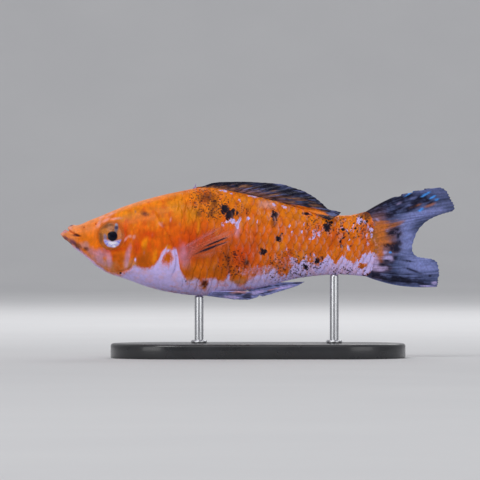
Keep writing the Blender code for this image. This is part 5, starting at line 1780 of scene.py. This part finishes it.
class MOLLY_OT_stage(bpy.types.Operator):
    """Pale floor that curves up all round, soft lights and a level camera"""

    bl_idname = "molly.stage"
    bl_label = "Stage"

    def execute(self, context):
        stage = context.scene.molly_stage
        self.floor()
        self.world(context.scene)
        for name, place, aim, size, share in LIGHTS:
            self.light(name, place, Vector(aim), size, stage.key_power * share)
        data = bpy.data.cameras.new("photo_view")
        camera = bpy.data.objects.new("photo_view", data)
        context.scene.collection.objects.link(camera)
        data.sensor_width = SENSOR_WIDTH
        data.lens = stage.lens / MM
        distance = stage.view_width * data.lens / data.sensor_width
        camera.location = (stage.view_centre, -distance, AXIS_HEIGHT * MM)
        camera.rotation_euler = (math.pi / 2, 0, 0)
        data.clip_start, data.clip_end = NEAREST_SEEN, FARTHEST_SEEN
        context.scene.camera = camera
        context.scene.view_settings.view_transform = "Standard"
        return {"FINISHED"}

    @staticmethod
    def floor():
        """A round floor whose rim sweeps up into a wall."""
        piece, column, row = grid_piece("studio_floor", FLOOR_COLUMNS, FLAT_ROWS + SWEPT_ROWS + 1)
        turn = -2 * math.pi * column / (FLOOR_COLUMNS - 1)
        bend = np.maximum(0, row - FLAT_ROWS) / SWEPT_ROWS * math.pi / 2
        radius = FLOOR_RADIUS * np.minimum(row, FLAT_ROWS) / FLAT_ROWS + FLOOR_SWEEP * np.sin(bend)
        height = FLOOR_SWEEP * (1 - np.cos(bend))
        points = np.stack([radius * np.cos(turn), radius * np.sin(turn), height], axis=1)
        piece.data.vertices.foreach_set("co", points.astype(np.float32).ravel())
        piece.data.update()
        bpy.ops.object.shade_smooth()
        material, graph, shader = new_material("pale_paper", Roughness=0.8)
        paper = graph.mix(graph.noise(60.0, 3.0), srgb(196, 196, 198), srgb(204, 204, 205))
        graph.wire(shader, Base_Color=paper)
        piece.data.materials.append(material)

    @staticmethod
    def world(scene):
        """An even pale sky over the floor."""
        world = bpy.data.worlds.new("studio")
        world.use_nodes = True
        sky = world.node_tree.nodes["Background"]
        sky.inputs["Color"].default_value = SKY_COLOUR
        sky.inputs["Strength"].default_value = SKY_STRENGTH
        scene.world = world

    @staticmethod
    def light(name, place, aim, size, power):
        """A square soft light that faces a point."""
        data = bpy.data.lights.new(name, "AREA")
        data.size = size
        data.energy = power
        lamp = bpy.data.objects.new(name, data)
        bpy.context.scene.collection.objects.link(lamp)
        lamp.location = place
        lamp.rotation_euler = (aim - Vector(place)).to_track_quat("-Z", "Y").to_euler()


PIECES = (
    MOLLY_OT_skin, MOLLY_OT_scales, MOLLY_OT_eyes, MOLLY_OT_dorsal_fin, MOLLY_OT_caudal_fin,
    MOLLY_OT_belly_fins, MOLLY_OT_pectoral_fins, MOLLY_OT_stand, MOLLY_OT_stage,
)
SETTINGS = {
    "molly_body": MollyBody, "molly_colours": MollyColours,
    "molly_fins": MollyFins, "molly_stage": MollyStage,
}


class MOLLY_PT_panel(bpy.types.Panel):
    """Sizes and colours of the fish, and a button for each of its pieces"""

    bl_idname = "MOLLY_PT_panel"
    bl_label = "Calico molly"
    bl_space_type = "VIEW_3D"
    bl_region_type = "UI"
    bl_category = "Molly"

    def draw(self, context):
        for name in SETTINGS:
            box = self.layout.box()
            settings = getattr(context.scene, name)
            for key in settings.bl_rna.properties.keys():
                if key not in ("rna_type", "name"):
                    box.prop(settings, key)
        for piece in PIECES:
            self.layout.operator(piece.bl_idname)


def register():
    """Adds the settings, pieces and panel to Blender."""
    for name, settings in SETTINGS.items():
        bpy.utils.register_class(settings)
        setattr(bpy.types.Scene, name, bpy.props.PointerProperty(type=settings))
    for made in (*PIECES, MOLLY_PT_panel):
        bpy.utils.register_class(made)


def unregister():
    """Takes them out again."""
    for made in (MOLLY_PT_panel, *reversed(PIECES)):
        bpy.utils.unregister_class(made)
    for name, settings in SETTINGS.items():
        delattr(bpy.types.Scene, name)
        bpy.utils.unregister_class(settings)


def main():
    """Builds every piece."""
    register()
    for piece in PIECES:
        group, action = piece.bl_idname.split(".")
        getattr(getattr(bpy.ops, group), action)()


if __name__ == "__main__":
    main()
